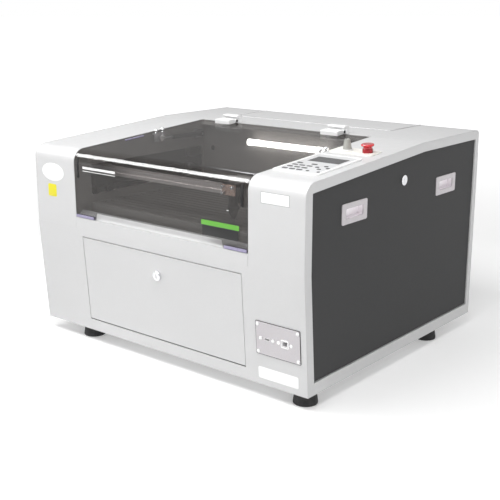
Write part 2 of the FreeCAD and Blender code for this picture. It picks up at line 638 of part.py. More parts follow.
def make_struts():
    """Two gas struts: the tube turns on the side wall, the rod slides in it and ends at the lid."""
    foot_y, foot_z = "front_y + strut_foot_run", "floor_z + strut_foot_rise"
    head_y, head_z = "front_y + strut_head_run", "floor_z + strut_head_rise"
    climb = "atan((strut_head_rise - strut_foot_rise) / (strut_foot_run - strut_head_run))"
    reach = "sqrt((strut_foot_run - strut_head_run)^2 + (strut_head_rise - strut_foot_rise)^2)"

    def aimed(thing, side):
        """Parts drawn along -Y from the foot pivot, then tipped to point at the head pivot."""
        thing.Placement = FreeCAD.Placement(Vector(), FreeCAD.Rotation(X_AXIS * -1, 1))
        place(thing, (f"{side} * strut_x", foot_y, foot_z))
        bind(thing, "Placement.Rotation.Angle", climb)
        return thing

    def back_rod(radius, near, far):
        return rod("y", radius, f"({far}) - ({near})", ("0", f"-({far})", "0"))

    for side, name in ((-1, "left"), (1, "right")):
        eye = fuse(rod("x", "eye_radius", "2 * eye_half", ("-eye_half", "0", "0")),
                   block(("-eye_half", "eye_half"), ("-eye_neck - 2", "-2"),
                         ("1 - tube_radius", "tube_radius - 1")))
        tube = fuse(eye, back_rod("tube_radius", "eye_neck", "eye_neck + strut_tube_length"))
        tube = cut(tube, rod("x", "eye_bore", "4 * eye_half", ("-2 * eye_half", "0", "0")),
                   back_rod("rod_radius + 1", "eye_neck + 6", "2 * strut_tube_length"))
        node(f"strut_tube_{name}", aimed(tube, side))
        stem = fuse(back_rod("rod_radius", "rod_start", f"{reach} - 5"),
                    rod("x", "rod_eye_radius", "2 * eye_half", ("-eye_half", f"-{reach}", "0")))
        node(f"strut_rod_{name}", aimed(stem, side))
    foot = fuse(block(("strut_x + 7", "opening_half"),
                      (f"{foot_y} - foot_half_run", f"{foot_y} + foot_half_run"),
                      (f"{foot_z} - foot_half_rise", f"{foot_z} + foot_half_rise")),
                rod("x", "strut_pin_radius", "14", ("strut_x - 6", foot_y, foot_z)))
    node("strut_wall_brackets", pair(foot))
    under = "front_z + rise * strut_head_run - lid_thick / cos(slope_angle)"
    plate = block(("strut_x + head_plate_in", "strut_x + head_plate_in + sheet"),
                  (f"{head_y} - head_plate_half", f"{head_y} + head_plate_half"),
                  (f"{head_z} - head_plate_drop", f"{under} - head_shelf_thick"))
    shelf = on_slope(block(("strut_x + head_plate_in", "strut_x + head_shelf_out"),
                           ("strut_head_run - head_shelf_half", "strut_head_run + head_shelf_half"),
                           ("-lid_thick - head_shelf_thick", "-lid_thick")))
    screw_x = "lid_half - lid_screw_in"
    heads = [on_slope(rod("z", "lid_screw_head", "2", (screw_x, f"strut_head_run {step}", "0")))
             for step in STRUT_SCREWS]
    stems = [on_slope(rod("z", "lid_screw_radius", "lid_thick + 1",
                          (screw_x, f"strut_head_run {step}", "-lid_thick - 0.5")))
             for step in STRUT_SCREWS]
    node("strut_lid_brackets", pair(fuse(plate, shelf, *heads, *stems)))


# ---------------------------------------------------------------- door, side panels and locks
def make_door():
    skin = block(("-door_half", "door_half"), ("0", "sheet"), ("door_low", "door_high"))
    skin = rounded(skin, 0.9, lambda e: e.BoundBox.YMax < 0.1 and e.BoundBox.YMin < 0.1)
    hollow = block(("-door_half + sheet", "door_half - sheet"), ("sheet - 1", "door_flange + 1"),
                   ("door_low + sheet", "door_high - sheet"))
    tray = cut(block(("-door_half + 0.5", "door_half - 0.5"), ("sheet - 0.5", "door_flange"),
                     ("door_low + 0.5", "door_high - 0.5")), hollow)
    pivot = rod("x", "pin_radius + 0.1", "2 * door_half + 10",
                ("-door_half - 5", "door_pivot_in", "door_low + door_pivot_up"))
    bore = rod("y", "barrel_lock_radius + 0.1", "20", ("0", "-5", "door_lock_rise"))
    node("front_door", on_lean(cut(fuse(skin, tray), pivot, bore)))
    node("front_door_lock", on_lean(door_lock()))


def door_lock():
    proud = "(knob_out + lean_in - (door_lock_rise + lock_radius) * sin(lean_angle)) / cos(lean_angle)"
    y_face = f"-{proud}"
    face = rod("y", "lock_radius", f"{proud} - 0.1", ("0", y_face, "door_lock_rise"))
    face = rounded(face, 2, lambda e: e.BoundBox.YMax < -4 and e.Length > 60)
    slot = block(("-1.2", "1.2"), (f"{y_face} - 1", f"{y_face} + 1.5"),
                 ("door_lock_rise - 5", "door_lock_rise + 5"))
    barrel = rod("y", "barrel_lock_radius", "22", ("0", "-1", "door_lock_rise"))
    cam = block(("-6", "62"), ("16", "18"), ("door_lock_rise - 6", "door_lock_rise + 6"))
    return fuse(cut(face, slot), barrel, cam)


def panel_side(side):
    """Helpers that measure inward from the outer face on either side of the cabinet."""
    def depth(near, far):
        if side > 0:
            return (f"half_width - ({far})", f"half_width - ({near})")
        return (f"-half_width + ({near})", f"-half_width + ({far})")
    return depth


def make_side(side, name):
    depth = panel_side(side)
    node(f"{name}_side_frame", side_frame(side))
    gap = "panel_gap"
    edge = outline(f"frame_front + {gap}", f"frame_top + {gap}", f"frame_rear + {gap}",
                   f"frame_foot + {gap} + sheet / 2")
    low, high = depth("recess", "recess + sheet")
    # the lower edge is a full round, on which the panel tilts out
    (toe_y, toe_z), (heel_y, _) = edge[0], edge[-1]
    heel = rod("y", "sheet / 2", f"({heel_y}) - ({toe_y})", (f"{low} + sheet / 2", toe_y, toe_z))
    skin = fuse(prism("x", [edge], low, high), heel)
    holes, pulls = [], []
    for run in ("pull_front_run", "pull_rear_run"):
        y0, z0 = f"front_y + {run}", "floor_z + pull_low"
        cy, cz = f"{y0} + pull_length / 2", f"{z0} + pull_height / 2"

        def centred(length, height):
            return ((f"{cy} - ({length}) / 2", f"{cy} + ({length}) / 2"),
                    (f"{cz} - ({height}) / 2", f"{cz} + ({height}) / 2"))
        rim = block(depth("recess - 2", "recess"), *centred("pull_length", "pull_height"))
        rim = rounded(rim, 4, along(X_AXIS))
        cup = block(depth("recess - 0.5", "recess + cup_depth"),
                    *centred("cup_length + 4", "cup_height + 4"))
        well = block(depth("recess - 5", "recess + cup_depth - 2"),
                     *centred("cup_length", "cup_height"))
        well = rounded(well, 3, along(X_AXIS))
        pulls.append(cut(fuse(rim, cup), well))
        holes.append(block(depth("0", "20"), *centred("cup_length + 4.4", "cup_height + 4.4")))
    ly, lz = "front_y + side_lock_run", "floor_z + side_lock_rise"
    holes.append(rod("x", "barrel_lock_radius + 0.1", "20", (depth("0", "20")[0], ly, lz)))
    node(f"{name}_side_panel", cut(skin, *holes))
    node(f"{name}_panel_pulls", group(*pulls))
    face = rod("x", "lock_radius", "recess - 0.4", (depth("0.3", "recess - 0.1")[0], ly, lz))
    slot = block(depth("-1", "1.3"), (f"{ly} - 1.2", f"{ly} + 1.2"), (f"{lz} - 5", f"{lz} + 5"))
    barrel = rod("x", "barrel_lock_radius", "18", (depth("2", "20")[0], ly, lz))
    cam = block(depth("16", "18"), (f"{ly} - 6", f"{ly} + 60"), (f"{lz} - 6", f"{lz} + 6"))
    node(f"{name}_panel_lock", fuse(cut(face, slot), barrel, cam))


# ---------------------------------------------------------------- work chamber and bed
SLAT_COUNT = 19


def make_chamber():
    loop = outline("sheet", "sheet / cos(slope_angle)", "0", "sheet")[:4]
    loop.append(("break_y", "floor_z + sheet"))
    wall = bent(loop, "opening_half", "opening_half + sheet", {2: "bend_radius - sheet"})
    slot = block(("opening_half - 5", "opening_half + 10"),
                 ("front_y + slot_front", "front_y + slot_rear"),
                 ("floor_z + slot_low", "floor_z + slot_high"))
    node("chamber_side_walls", pair(cut(wall, slot)))
    back = block(("-opening_half - sheet", "opening_half + sheet"), ("break_y", "break_y + sheet"),
                 ("floor_z + sheet", "top_z - sheet"))
    lip = block(("-opening_half + 0.5", "opening_half - 0.5"), ("break_y - wall_lip_run", "break_y"),
                ("top_z - wall_lip_drop - sheet", "top_z - wall_lip_drop"))
    beam_hole = rod("y", "beam_hole_radius", "10 * sheet",
                    ("beam_hole_x", "break_y - 2 * sheet", "floor_z + laser_rise"))
    node("chamber_rear_wall", cut(fuse(back, lip), beam_hole))

    bed_y = ("front_y + bed_front_run - bed_wall", "break_y - bed_rear_gap + bed_wall")
    underside = "floor_z + bed_top - bed_depth"
    frame = cut(block(("-bed_half - bed_wall", "bed_half + bed_wall"), bed_y,
                      (underside, "floor_z + bed_top")),
                block(("-bed_half", "bed_half"), ("front_y + bed_front_run", "break_y - bed_rear_gap"),
                      (f"{underside} - 1", "floor_z + bed_top + 1")))
    angles = [block(x, bed_y, (f"{underside} - 2 * sheet", underside))
              for x in (("-opening_half", "-bed_half + angle_overlap"),
                        ("bed_half - angle_overlap", "opening_half"))]
    node("bed_frame", fuse(frame, *angles))
    slats = []
    crest = "floor_z + bed_top - slat_drop"
    for step in range(SLAT_COUNT):
        y = f"front_y + slat_start + {step} * slat_pitch"
        slats.append(block(("-bed_half", "bed_half"), (y, f"{y} + slat_thick"),
                           (f"{crest} - slat_height", crest)))
    node("bed_slats", group(*slats))
    tray_y = ("front_y + tray_front_run", "break_y - bed_rear_gap")
    tray = cut(block(("-tray_half", "tray_half"), tray_y, ("floor_z + sheet", "floor_z + tray_height")),
               block(("-tray_half + sheet", "tray_half - sheet"),
                     (f"{tray_y[0]} + sheet", f"{tray_y[1]} - sheet"),
                     ("floor_z + 2 * sheet", "floor_z + tray_height + 1")))
    node("scrap_tray", tray)


def make_motion():
    rail = block(("opening_half + sheet", "opening_half + sheet + rail_side"),
                 ("front_y + rail_front_run", "break_y - rail_rear_gap"),
                 ("floor_z + slot_low - rail_drop - rail_height", "floor_z + slot_low - rail_drop"))
    groove = block(("opening_half + track_in", "opening_half + track_out"), ("front_y", "break_y"),
                   ("floor_z + slot_low - rail_drop - track_depth", "floor_z + slot_low + 1"))
    node("y_rails", pair(cut(rail, groove)))

    belt_low, belt_high = "belt_x - belt_half", "belt_x + belt_half"
    front_y = "front_y + belt_front_run"
    inner = "pulley_radius + 0.3"

    def racetrack(radius):
        return fuse(rod("x", radius, "2 * belt_half", (belt_low, front_y, "shaft_z")),
                    rod("x", radius, "2 * belt_half", (belt_low, "shaft_y", "shaft_z")),
                    block((belt_low, belt_high), (front_y, "shaft_y"),
                          (f"shaft_z - ({radius})", f"shaft_z + ({radius})")))
    belt = cut(racetrack(f"{inner} + belt_thick"), racetrack(inner))

    def pulley(x, y):
        return rod("x", "pulley_radius", "2 * pulley_half", (f"{x} - pulley_half", y, "shaft_z"))
    idler = fuse(pulley("belt_x", front_y),
                 rod("x", "idler_pin_radius", "idler_pin_in + belt_half",
                     ("belt_x - idler_pin_in", front_y, "shaft_z")))
    node("y_belts", pair(group(belt, idler)))

    shaft = rod("x", "shaft_radius", "2 * (belt_x + shaft_over)",
                ("-belt_x - shaft_over", "shaft_y", "shaft_z"))
    node("y_drive_shaft", fuse(shaft, pulley("belt_x", "shaft_y"), pulley("-belt_x", "shaft_y")))
    face_x = "belt_x + y_motor_in"
    body = block((face_x, f"{face_x} + y_motor_length"),
                 ("shaft_y - y_motor_half", "shaft_y + y_motor_rear"),
                 ("shaft_z - y_motor_half", "shaft_z + y_motor_half"))
    body = rounded(body, 4, along(X_AXIS))
    plate = block((f"{face_x} - mount_thick", face_x),
                  ("shaft_y - mount_edge", "shaft_y + y_motor_rear"),
                  ("shaft_z - mount_drop", "shaft_z + mount_edge"))
    shelf_y = ("shaft_y - mount_shelf_half", "shaft_y + mount_shelf_half")
    underside = "shaft_z - mount_drop - mount_thick"
    shelf = block(("opening_half + sheet", face_x), shelf_y, (underside, "shaft_z - mount_drop"))
    shelf_foot = block((f"{face_x} - mount_thick", face_x), shelf_y,
                       (underside, "shaft_z - mount_drop + 2"))
    bore = rod("x", "shaft_radius + 1", "mount_thick + 6",
               (f"{face_x} - mount_thick - 2", "shaft_y", "shaft_z"))
    node("y_motor", cut(fuse(body, plate, shelf, shelf_foot), bore))


def make_gantry():
    under, top = "floor_z + beam_low", "floor_z + beam_high"
    beam = block(("-beam_half", "beam_half"), ("beam_y", "beam_y + beam_depth"), (under, top))
    through = ("-2 * beam_half", "2 * beam_half")
    groove = block(through, ("beam_y - 1", "beam_y + beam_groove"),
                   (f"{under} + beam_groove_inset", f"{top} - beam_groove_inset"))
    bore = block(through, ("beam_y + beam_bore_near", "beam_y + beam_bore_far"),
                 (f"{under} + beam_bore_inset", f"{top} - beam_bore_inset"))
    node("gantry_beam", cut(beam, groove, bore))

    crown = "floor_z + slot_low + carriage_rise"
    plate = block(("carriage_in", "carriage_out"),
                  ("beam_y - carriage_reach", "beam_y + beam_depth + carriage_reach"),
                  (crown, under))
    wheels = []
    for centre in ("beam_y - wheel_reach", "beam_y + beam_depth + wheel_reach"):
        hub_z = "floor_z + slot_low + wheel_rise"
        wheels.append(rod("x", "wheel_radius", "wheel_width", ("wheel_in", centre, hub_z)))
        wheels.append(rod("x", "axle_radius", "carriage_out - carriage_in",
                          ("carriage_in", centre, hub_z)))
        wheels.append(block(("carriage_in", "wheel_in"),
                            (f"{centre} - axle_half", f"{centre} + axle_half"),
                            ("floor_z + slot_low + 8", f"{crown} + 2")))
    clamp = block(("carriage_out", "belt_x + belt_half"),
                  ("beam_y - clamp_reach", "beam_y + beam_depth + clamp_reach"),
                  ("shaft_z + pulley_radius + clamp_gap", under))
    node("gantry_carriages", pair(fuse(plate, clamp, *wheels)))

    motor = block(("x_motor_left", "x_motor_right"),
                  ("beam_y + beam_depth", "beam_y + beam_depth + x_motor_length"),
                  (f"{under} - x_motor_drop", f"{under} + x_motor_rise"))
    node("x_motor", rounded(motor, 3, along(Y_AXIS)))

    belt = cut(block(("-x_belt_half", "x_belt_half"),
                     ("beam_y + x_belt_near", "beam_y + x_belt_far"),
                     (top, f"{top} + x_belt_height")),
               block(("-x_belt_half + belt_thick", "x_belt_half - belt_thick"),
                     ("beam_y + x_belt_near - 1", "beam_y + x_belt_far + 1"),
                     (f"{top} + belt_thick", f"{top} + x_belt_height - belt_thick")))
    end = DIMENSIONS["x_belt_half"] - 1
    belt = rounded(belt, 5, lambda e: along(Y_AXIS)(e) and abs(e.CenterOfMass.x) > end)
    node("x_belt", belt)


def make_head():
    """The carriage that hangs on the beam and slides along it, and the laser head in front."""
    under, top = "floor_z + beam_low", "floor_z + beam_high"
    across = ("head_x - head_half", "head_x + head_half")
    front = "beam_y - head_front"
    back = f"{front} + head_plate"
    carriage = fuse(
        block(across, (front, back), (f"{under} - head_plate_low", f"{top} + 8")),
        block(across, (front, "beam_y + beam_depth + head_roof_over"),
              (f"{top} + head_roof_low", f"{top} + head_roof_high")),
        block(across, (front, back), (f"{top} + 6", f"{top} + head_roof_high")))
    rollers = [rod("y", "roller_radius", "roller_length",
                   (x, f"{back} - 1", "floor_z + (beam_low + beam_high) / 2"))
               for x in ("head_x - roller_x", "head_x + roller_x")]
    node("head_carriage", fuse(carriage, *rollers))
    axis_y = "beam_y - tube_ahead"
    tip = "floor_z + tube_low - nozzle_length"
    head = fuse(
        rod("z", "lens_radius", "tube_length", ("head_x", axis_y, "floor_z + tube_low")),
        taper("z", "nozzle_tip", "nozzle_top", "nozzle_length", ("head_x", axis_y, tip)),
        block(("head_x - mirror_half", "head_x + mirror_half"),
              ("beam_y - mirror_near", "beam_y - mirror_far"),
              ("floor_z + mirror_low", "floor_z + mirror_high")),
        block(("head_x - neck_half", "head_x + neck_half"), ("beam_y - mirror_far - 2", front),
              ("floor_z + neck_low", "floor_z + neck_high")))
    bore = rod("z", "nozzle_bore", "2 * tube_length", ("head_x", axis_y, f"{tip} - 8"))
    node("laser_head", cut(head, bore))


def make_lamp():
    """The work lamp: a glass tube between two end caps, each on an arm from the rear wall."""
    y, z = "break_y - lamp_gap", "floor_z + lamp_rise"
    pieces = [rod("x", "lamp_radius", "lamp_length", ("lamp_left", y, z))]
    for start in ("lamp_left - lamp_cap", "lamp_left + lamp_length"):
        pieces.append(rod("x", "lamp_radius + 1", "lamp_cap", (start, y, z)))
        pieces.append(block((f"{start} + 2", f"{start} + 2 + lamp_arm"), (y, "break_y"),
                            (f"{z} - lamp_arm_half", f"{z} + lamp_arm_half")))
    node("work_lamp", fuse(*pieces))


# ---------------------------------------------------------------- laser, electrics and fan
LOUVRE_COUNT = 9
BLADE_COUNT, BLADE_PITCH = 7, 35


def make_laser():
    y, z = "front_y + laser_run", "floor_z + laser_rise"
    jacket = rod("x", "laser_radius", "2 * laser_half", ("-laser_half", y, z))
    ends = rod("x", "laser_radius / 2", "2 * laser_end_half", ("-laser_end_half", y, z))
    node("laser_tube", fuse(jacket, ends))
    holders = []
    for x in ("-holder_x", "holder_x"):
        ring = rod("x", "laser_radius + holder_wall", "2 * holder_half", (f"{x} - holder_half", y, z))
        foot = block((f"{x} - holder_half", f"{x} + holder_half"), ("break_y + sheet", y),
                     (f"{z} - laser_radius - holder_wall", f"{z} - laser_radius"))
        bore = rod("x", "laser_radius + 0.3", "2 * holder_half + 6", (f"{x} - holder_half - 3", y, z))
        holders.append(cut(fuse(ring, foot), bore))
    node("tube_holders", group(*holders))


def make_electrics():
    near, far = "front_y + supply_run", "front_y + supply_run + supply_depth"
    case = block(("supply_left", "supply_right"), (near, far),
                 ("floor_z + sheet", "floor_z + supply_height"))
    inside = block(("supply_left + sheet", "supply_right - sheet"),
                   (f"{near} + sheet", f"{far} - sheet"),
                   ("floor_z + sheet - 1", "floor_z + supply_height - sheet"))
    louvres = []
    for step in range(LOUVRE_COUNT):
        low = f"supply_left + fin_width + {step} * fin_pitch"
        louvres.append(block((low, f"{low} + fin_width"), (f"{near} - 1", f"{near} + sheet / 2"),
                             ("floor_z + louvre_low", "floor_z + supply_height - louvre_top_gap")))
    node("laser_power_supply", cut(case, inside, *louvres))

    top = "floor_z + board_rise + board_thick"
    run = ("front_y + board_run", "front_y + board_run + board_depth")
    board = block(("board_left", "board_right"), run, ("floor_z + board_rise", top))
    chips = []
    for column in range(3):
        for row in range(4):
            x = f"board_left + chip_edge + {column} * chip_pitch_x"
            y = f"{run[0]} + chip_height + {row} * chip_pitch_y"
            chips.append(block((x, f"{x} + chip_length"), (y, f"{y} + chip_width"),
                               (top, f"{top} + chip_height")))
    posts = [rod("z", "post_radius", "board_rise - sheet + 0.5", (x, y, "floor_z + sheet"))
             for x in ("board_left + chip_edge", "board_right - chip_edge")
             for y in (f"{run[0]} + chip_edge", f"{run[1]} - chip_edge")]
    node("controller_board", fuse(board, *chips, *posts))

    fx, fz = "fan_x", "floor_z + fan_rise"
    inner = "rear_y - fan_depth"
    shell = block((f"{fx} - fan_half", f"{fx} + fan_half"), (inner, "rear_y - sheet"),
                  (f"{fz} - fan_half", f"{fz} + fan_half"))
    duct = rod("y", "duct_radius", "duct_out + sheet + 4", (fx, "rear_y - sheet - 4", fz))
    bore = rod("y", "duct_radius - duct_wall", "2 * duct_radius", (fx, f"{inner} - 20", fz))
    bars = [block((f"{fx} - duct_radius + 1", f"{fx} + duct_radius - 1"), (inner, f"{inner} + fan_bar"),
                  (f"{fz} - fan_bar_half", f"{fz} + fan_bar_half")),
            rod("y", "fan_boss_radius", "fan_bar", (fx, inner, fz))]
    node("fan_housing", fuse(cut(fuse(shell, duct), bore), *bars))
    hub = rod("y", "rotor_radius", "rotor_length", (fx, "rear_y - rotor_depth", fz))
    blades = []
    for step in range(BLADE_COUNT):
        blade = block(("rotor_radius - 2", "duct_radius - blade_gap"), ("-sheet / 2", "sheet / 2"),
                      ("-blade_half", "blade_half"))
        blade.Placement.Rotation = FreeCAD.Rotation(X_AXIS, BLADE_PITCH)
        holder = group(blade)
        swing = FreeCAD.Rotation(Y_AXIS, 360 / BLADE_COUNT * step)
        holder.Placement = FreeCAD.Placement(Vector(), swing)
        place(holder, (fx, "rear_y - blade_depth", fz))
        blades.append(holder)
    node("fan_rotor", fuse(hub, *blades, refine=False))

    body_x, body_z = ("inlet_left", "inlet_right"), ("floor_z + inlet_low", "floor_z + inlet_high")
    flange = block(("inlet_left - inlet_wall", "inlet_right + inlet_wall"),
                   ("rear_y", "rear_y + inlet_flange"),
                   ("floor_z + inlet_low - 2 * inlet_wall", "floor_z + inlet_high + 2 * inlet_wall"))
    body = block(body_x, ("rear_y - inlet_depth", "rear_y"), body_z)
    well = block(("inlet_left + inlet_wall", "inlet_right - inlet_wall"),
                 ("rear_y - well_depth", "rear_y + 2 * inlet_flange"),
                 ("floor_z + inlet_low + well_low", "floor_z + inlet_low + well_high"))
    pins = []
    for step in (-1, 0, 1):
        x = f"(inlet_left + inlet_right) / 2 + {step} * pin_pitch"
        pins.append(block((f"{x} - pin_half", f"{x} + pin_half"),
                          ("rear_y - pin_back", "rear_y - pin_tip"),
                          ("floor_z + inlet_low + pin_low", "floor_z + inlet_low + pin_high")))
    node("power_inlet", fuse(cut(fuse(flange, body), well), *pins))


# ---------------------------------------------------------------- controls
BEZEL_TOP = DIMENSIONS["bezel_height"]


def key(x, run, half_x, half_y):
    """An oval key in the well of the bezel."""
    cap = block((f"{x} - {half_x}", f"{x} + {half_x}"), (f"{run} - {half_y}", f"{run} + {half_y}"),
                ("well_floor", "bezel_height"))
    corner = DIMENSIONS[half_y] - 0.1
    return rounded(rounded(cap, corner, along(Z_AXIS)), 0.5, at_height(BEZEL_TOP))


def make_controls():
    bezel = block(("bezel_left", "bezel_right"), ("bezel_near", "bezel_far"), ("0", "bezel_height"))
    bezel = rounded(bezel, 9, along(Z_AXIS))
    bezel = rounded(bezel, 1.6, at_height(BEZEL_TOP))
    well = block(("bezel_left + bezel_rim", "bezel_right - bezel_rim"),
                 ("bezel_near + bezel_rim", "bezel_far - bezel_rim"),
                 ("well_floor", "2 * bezel_height"))
    node("control_bezel", on_slope(cut(bezel, rounded(well, 4, along(Z_AXIS)))))
    glass = block(("display_left", "display_right"), ("display_near", "display_far"),
                  ("well_floor", "display_height"))
    node("display", on_slope(rounded(glass, 0.3, at_height(DIMENSIONS["display_height"]))))

    keys = []
    for column in range(3):
        for row in range(4):
            if (column, row) != (1, 3):  # the keypad has a blank place there
                keys.append(key(f"key_left + {column} * key_pitch",
                                f"key_near + {row} * key_row_pitch", "key_half_x", "key_half_y"))
    keys += [key(x, "key_near", "small_key_half", "key_half_y")
             for x in ("small_key_left", "small_key_right")]
    for x, y in ((-1, 0), (0, 1), (1, 0), (0, -1)):
        keys.append(key(f"arrows_x + {x} * arrows_reach", f"arrows_run + {y} * arrows_reach",
                        "arrow_half_x", "arrow_half_y"))
    node("keypad", on_slope(group(*keys)))

    plate = block(("plate_left", "plate_right"), ("plate_near", "plate_far"), ("0", "plate_height"))
    plate = rounded(plate, 9, along(Z_AXIS))
    plate = rounded(plate, 1, at_height(DIMENSIONS["plate_height"]))
    holes = [rod("z", "8.2", "20", ("estop_x", "control_run", "-8")),
             rod("z", "3.6", "20", ("knob_x", "control_run", "-8"))]
    node("switch_plate", on_slope(cut(plate, *holes)))
    centre = ("estop_x", "control_run")
    collar = fuse(rod("z", "12", "8.5", (*centre, "3")), rod("z", "8", "36", (*centre, "-32")),
                  rod("z", "10.5", "3", (*centre, "-6")))
    bores = [rod("z", "5.2", "50", (*centre, "-20")), rod("z", "10.4", "10", (*centre, "5.6"))]
    node("estop_base", on_slope(cut(collar, *bores)))
    cap = fuse(rod("z", "10", "7", (*centre, "10")), rod("z", "5", "24", (*centre, "-9")),
               taper("z", "11", "15", "3", (*centre, "16")), rod("z", "15", "4", (*centre, "19")))
    cap = rounded(cap, 2.4, at_height(23))
    node("estop_head", on_slope(cap))
    centre = ("knob_x", "control_run")
    knob = fuse(rod("z", "13.5", "2", (*centre, "3.3")),
                taper("z", "10.5", "7", "23", (*centre, "5.3")),
                rod("z", "3.4", "30", (*centre, "-12")))
    grooves = []
    for step in range(12):
        turn = 30 * step
        x = f"knob_x + 11.2 * cos({turn})"
        y = f"control_run + 11.2 * sin({turn})"
        grooves.append(rod("z", "1.3", "26", (x, y, "7")))
    node("rotary_knob", on_slope(cut(knob, *grooves)))


def make_sockets():
    row = "(io_low + io_high) / 2"

    def port(x, half_x, half_z, near, far):
        """A box round the middle of a socket, on the row of the plate."""
        return block((f"{x} - {half_x}", f"{x} + {half_x}"), (near, far),
                     (f"{row} - {half_z}", f"{row} + {half_z}"))
    plate = block(("io_left", "io_right"), ("-1.5", "0"), ("io_low", "io_high"))
    plate = rounded(plate, 2, along(Y_AXIS))
    plate = cut(plate, port("usb_x", 7, 3.5, "-5", "5"), port("jack_x", 8, 7, "-5", "5"))
    spots = [(f"{x} {step}", row) for x in ("usb_x", "jack_x") for step in ("- 17", "+ 17")]
    spots += [(x, z) for x in ("io_left + 5", "io_right - 5")
              for z in ("io_low + 6", "io_high - 6")]
    screws = []
    for x, z in spots:
        head = rod("y", "2.8", "1.6", (x, "-3.1", z))
        screws.append(rounded(head, 0.8, lambda e: e.BoundBox.YMax < -3.0 and e.Length > 12))
    node("io_plate", on_lean(group(plate, *screws)))
    usb = fuse(cut(port("usb_x", 6.8, 3.3, "-1.8", "22"), port("usb_x", 6, 2.4, "-3", "14")),
               block(("usb_x - 5", "usb_x + 5"), ("0", "15"), (f"{row} + 0.2", f"{row} + 1.9")))
    jack = cut(port("jack_x", 7.8, 6.8, "-1.8", "24"), port("jack_x", 6, 5, "-3", "16"))
    node("io_sockets", on_lean(group(usb, jack)))


# ---------------------------------------------------------------- assembly
make_base()
make_front()
make_consoles()
make_rear()
make_feet()
make_lid()
make_hinges()
make_pins()
make_struts()
make_door()
make_side(-1, "left")
make_side(1, "right")
make_chamber()
make_motion()
make_gantry()
make_head()
make_lamp()
make_laser()
make_electrics()
make_controls()
make_sockets()

doc.recompute()
faults = [f"{o.Label}: {o.State}" for o in doc.Objects if "Invalid" in o.State or "Error" in o.State]
faults += [f"{name}: bad shape" for name, thing in NODES.items()
           if thing.Shape.isNull() or not thing.Shape.isValid() or not thing.Shape.Solids]
if faults:
    raise RuntimeError("; ".join(faults))
for name, thing in NODES.items():
    thing.Shape.exportStep(f"parts/{name}.step")
print(len(NODES), "nodes")
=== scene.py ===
"""Looks of the desktop laser cutter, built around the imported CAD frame.

Every place comes from the frame: node boxes and joint axes. Metres, Z up, front faces -Y.
"""
import json
import math

import bmesh
import bpy
from mathutils import Matrix, Vector


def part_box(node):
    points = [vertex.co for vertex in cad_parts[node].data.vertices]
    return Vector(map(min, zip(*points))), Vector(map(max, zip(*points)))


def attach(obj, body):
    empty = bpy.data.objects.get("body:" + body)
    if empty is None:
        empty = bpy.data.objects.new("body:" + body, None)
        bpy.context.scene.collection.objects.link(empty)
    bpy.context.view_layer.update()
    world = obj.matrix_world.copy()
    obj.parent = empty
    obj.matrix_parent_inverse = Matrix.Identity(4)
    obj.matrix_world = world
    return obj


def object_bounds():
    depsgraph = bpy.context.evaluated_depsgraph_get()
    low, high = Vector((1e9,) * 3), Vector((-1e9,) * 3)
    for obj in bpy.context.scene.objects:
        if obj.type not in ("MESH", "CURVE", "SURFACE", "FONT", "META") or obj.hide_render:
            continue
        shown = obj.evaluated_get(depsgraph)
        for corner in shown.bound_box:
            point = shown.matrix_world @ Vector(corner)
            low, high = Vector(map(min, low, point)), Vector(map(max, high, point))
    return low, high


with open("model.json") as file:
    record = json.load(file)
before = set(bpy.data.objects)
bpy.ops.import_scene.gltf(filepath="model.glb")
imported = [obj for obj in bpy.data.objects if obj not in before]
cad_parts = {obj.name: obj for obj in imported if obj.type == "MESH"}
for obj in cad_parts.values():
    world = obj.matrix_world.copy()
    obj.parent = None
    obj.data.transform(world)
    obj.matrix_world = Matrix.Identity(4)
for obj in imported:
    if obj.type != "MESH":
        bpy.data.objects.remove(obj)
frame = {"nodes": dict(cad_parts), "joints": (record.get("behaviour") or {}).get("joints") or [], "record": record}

cad_low, cad_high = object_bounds()
MM = 0.001

# ---------------------------------------------------------------- places read from the frame
JOINTS = {joint["name"]: joint for joint in frame["joints"]}


def low(node):
    """The lower corner of a node's box."""
    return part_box(node)[0]


def high(node):
    """The upper corner of a node's box."""
    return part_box(node)[1]


def middle(node):
    return (low(node) + high(node)) / 2


def standing(origin, out, up):
    """A frame at a point: its Z points out of a surface and its Y runs up it."""
    z = Vector(out).normalized()
    y = (Vector(up) - Vector(up).dot(z) * z).normalized()
    turn = Matrix((y.cross(z), y, z)).transposed().to_4x4()
    return Matrix.Translation(origin) @ turn


UP = Vector((0, 0, 1))
REARWARD = Vector((0, 1, 0))
TOP_OUT = Vector(JOINTS["knob_turn"]["axis"])
LEAN_OUT = Vector(JOINTS["front_door_lock_turn"]["axis"])
TOP_BREAK = Vector((0, high("left_console").y, high("left_console").z))
DOOR_LOCK = Vector(JOINTS["front_door_lock_turn"]["pos_m"])
FRONT_Y = low("front_panel").y
REAR_Y = high("rear_panel").y
LID_BEND = 34 * MM
LABEL_THICK = 0.3 * MM
LABEL_LIFT = 0.02 * MM
LABEL_EDGE = 0.1 * MM


def on_top(x, ahead_of_break, lift=0.0):
    """A frame on the sloping top, so far in front of the line where the top turns level."""
    up_slope = Vector((0, TOP_OUT.z, -TOP_OUT.y))
    origin = TOP_BREAK - up_slope * ahead_of_break + TOP_OUT * lift + Vector((x, 0, 0))
    return standing(origin, TOP_OUT, REARWARD)


def on_lean(x, up, out=0.0):
    """A frame on the leaning lower front, so far above the door lock's level."""
    along = Vector((0, LEAN_OUT.z, -LEAN_OUT.y))
    origin = DOOR_LOCK + along * up + LEAN_OUT * out
    return standing(Vector((x, origin.y, origin.z)), LEAN_OUT, UP)


def on_front(x, z, out=0.0):
    """A frame on the upright upper front."""
    return standing((x, FRONT_Y - out, z), -REARWARD, UP)


def on_rear(x, z, out=0.0):
    """A frame on the rear panel."""
    return standing((x, REAR_Y + out, z), REARWARD, UP)


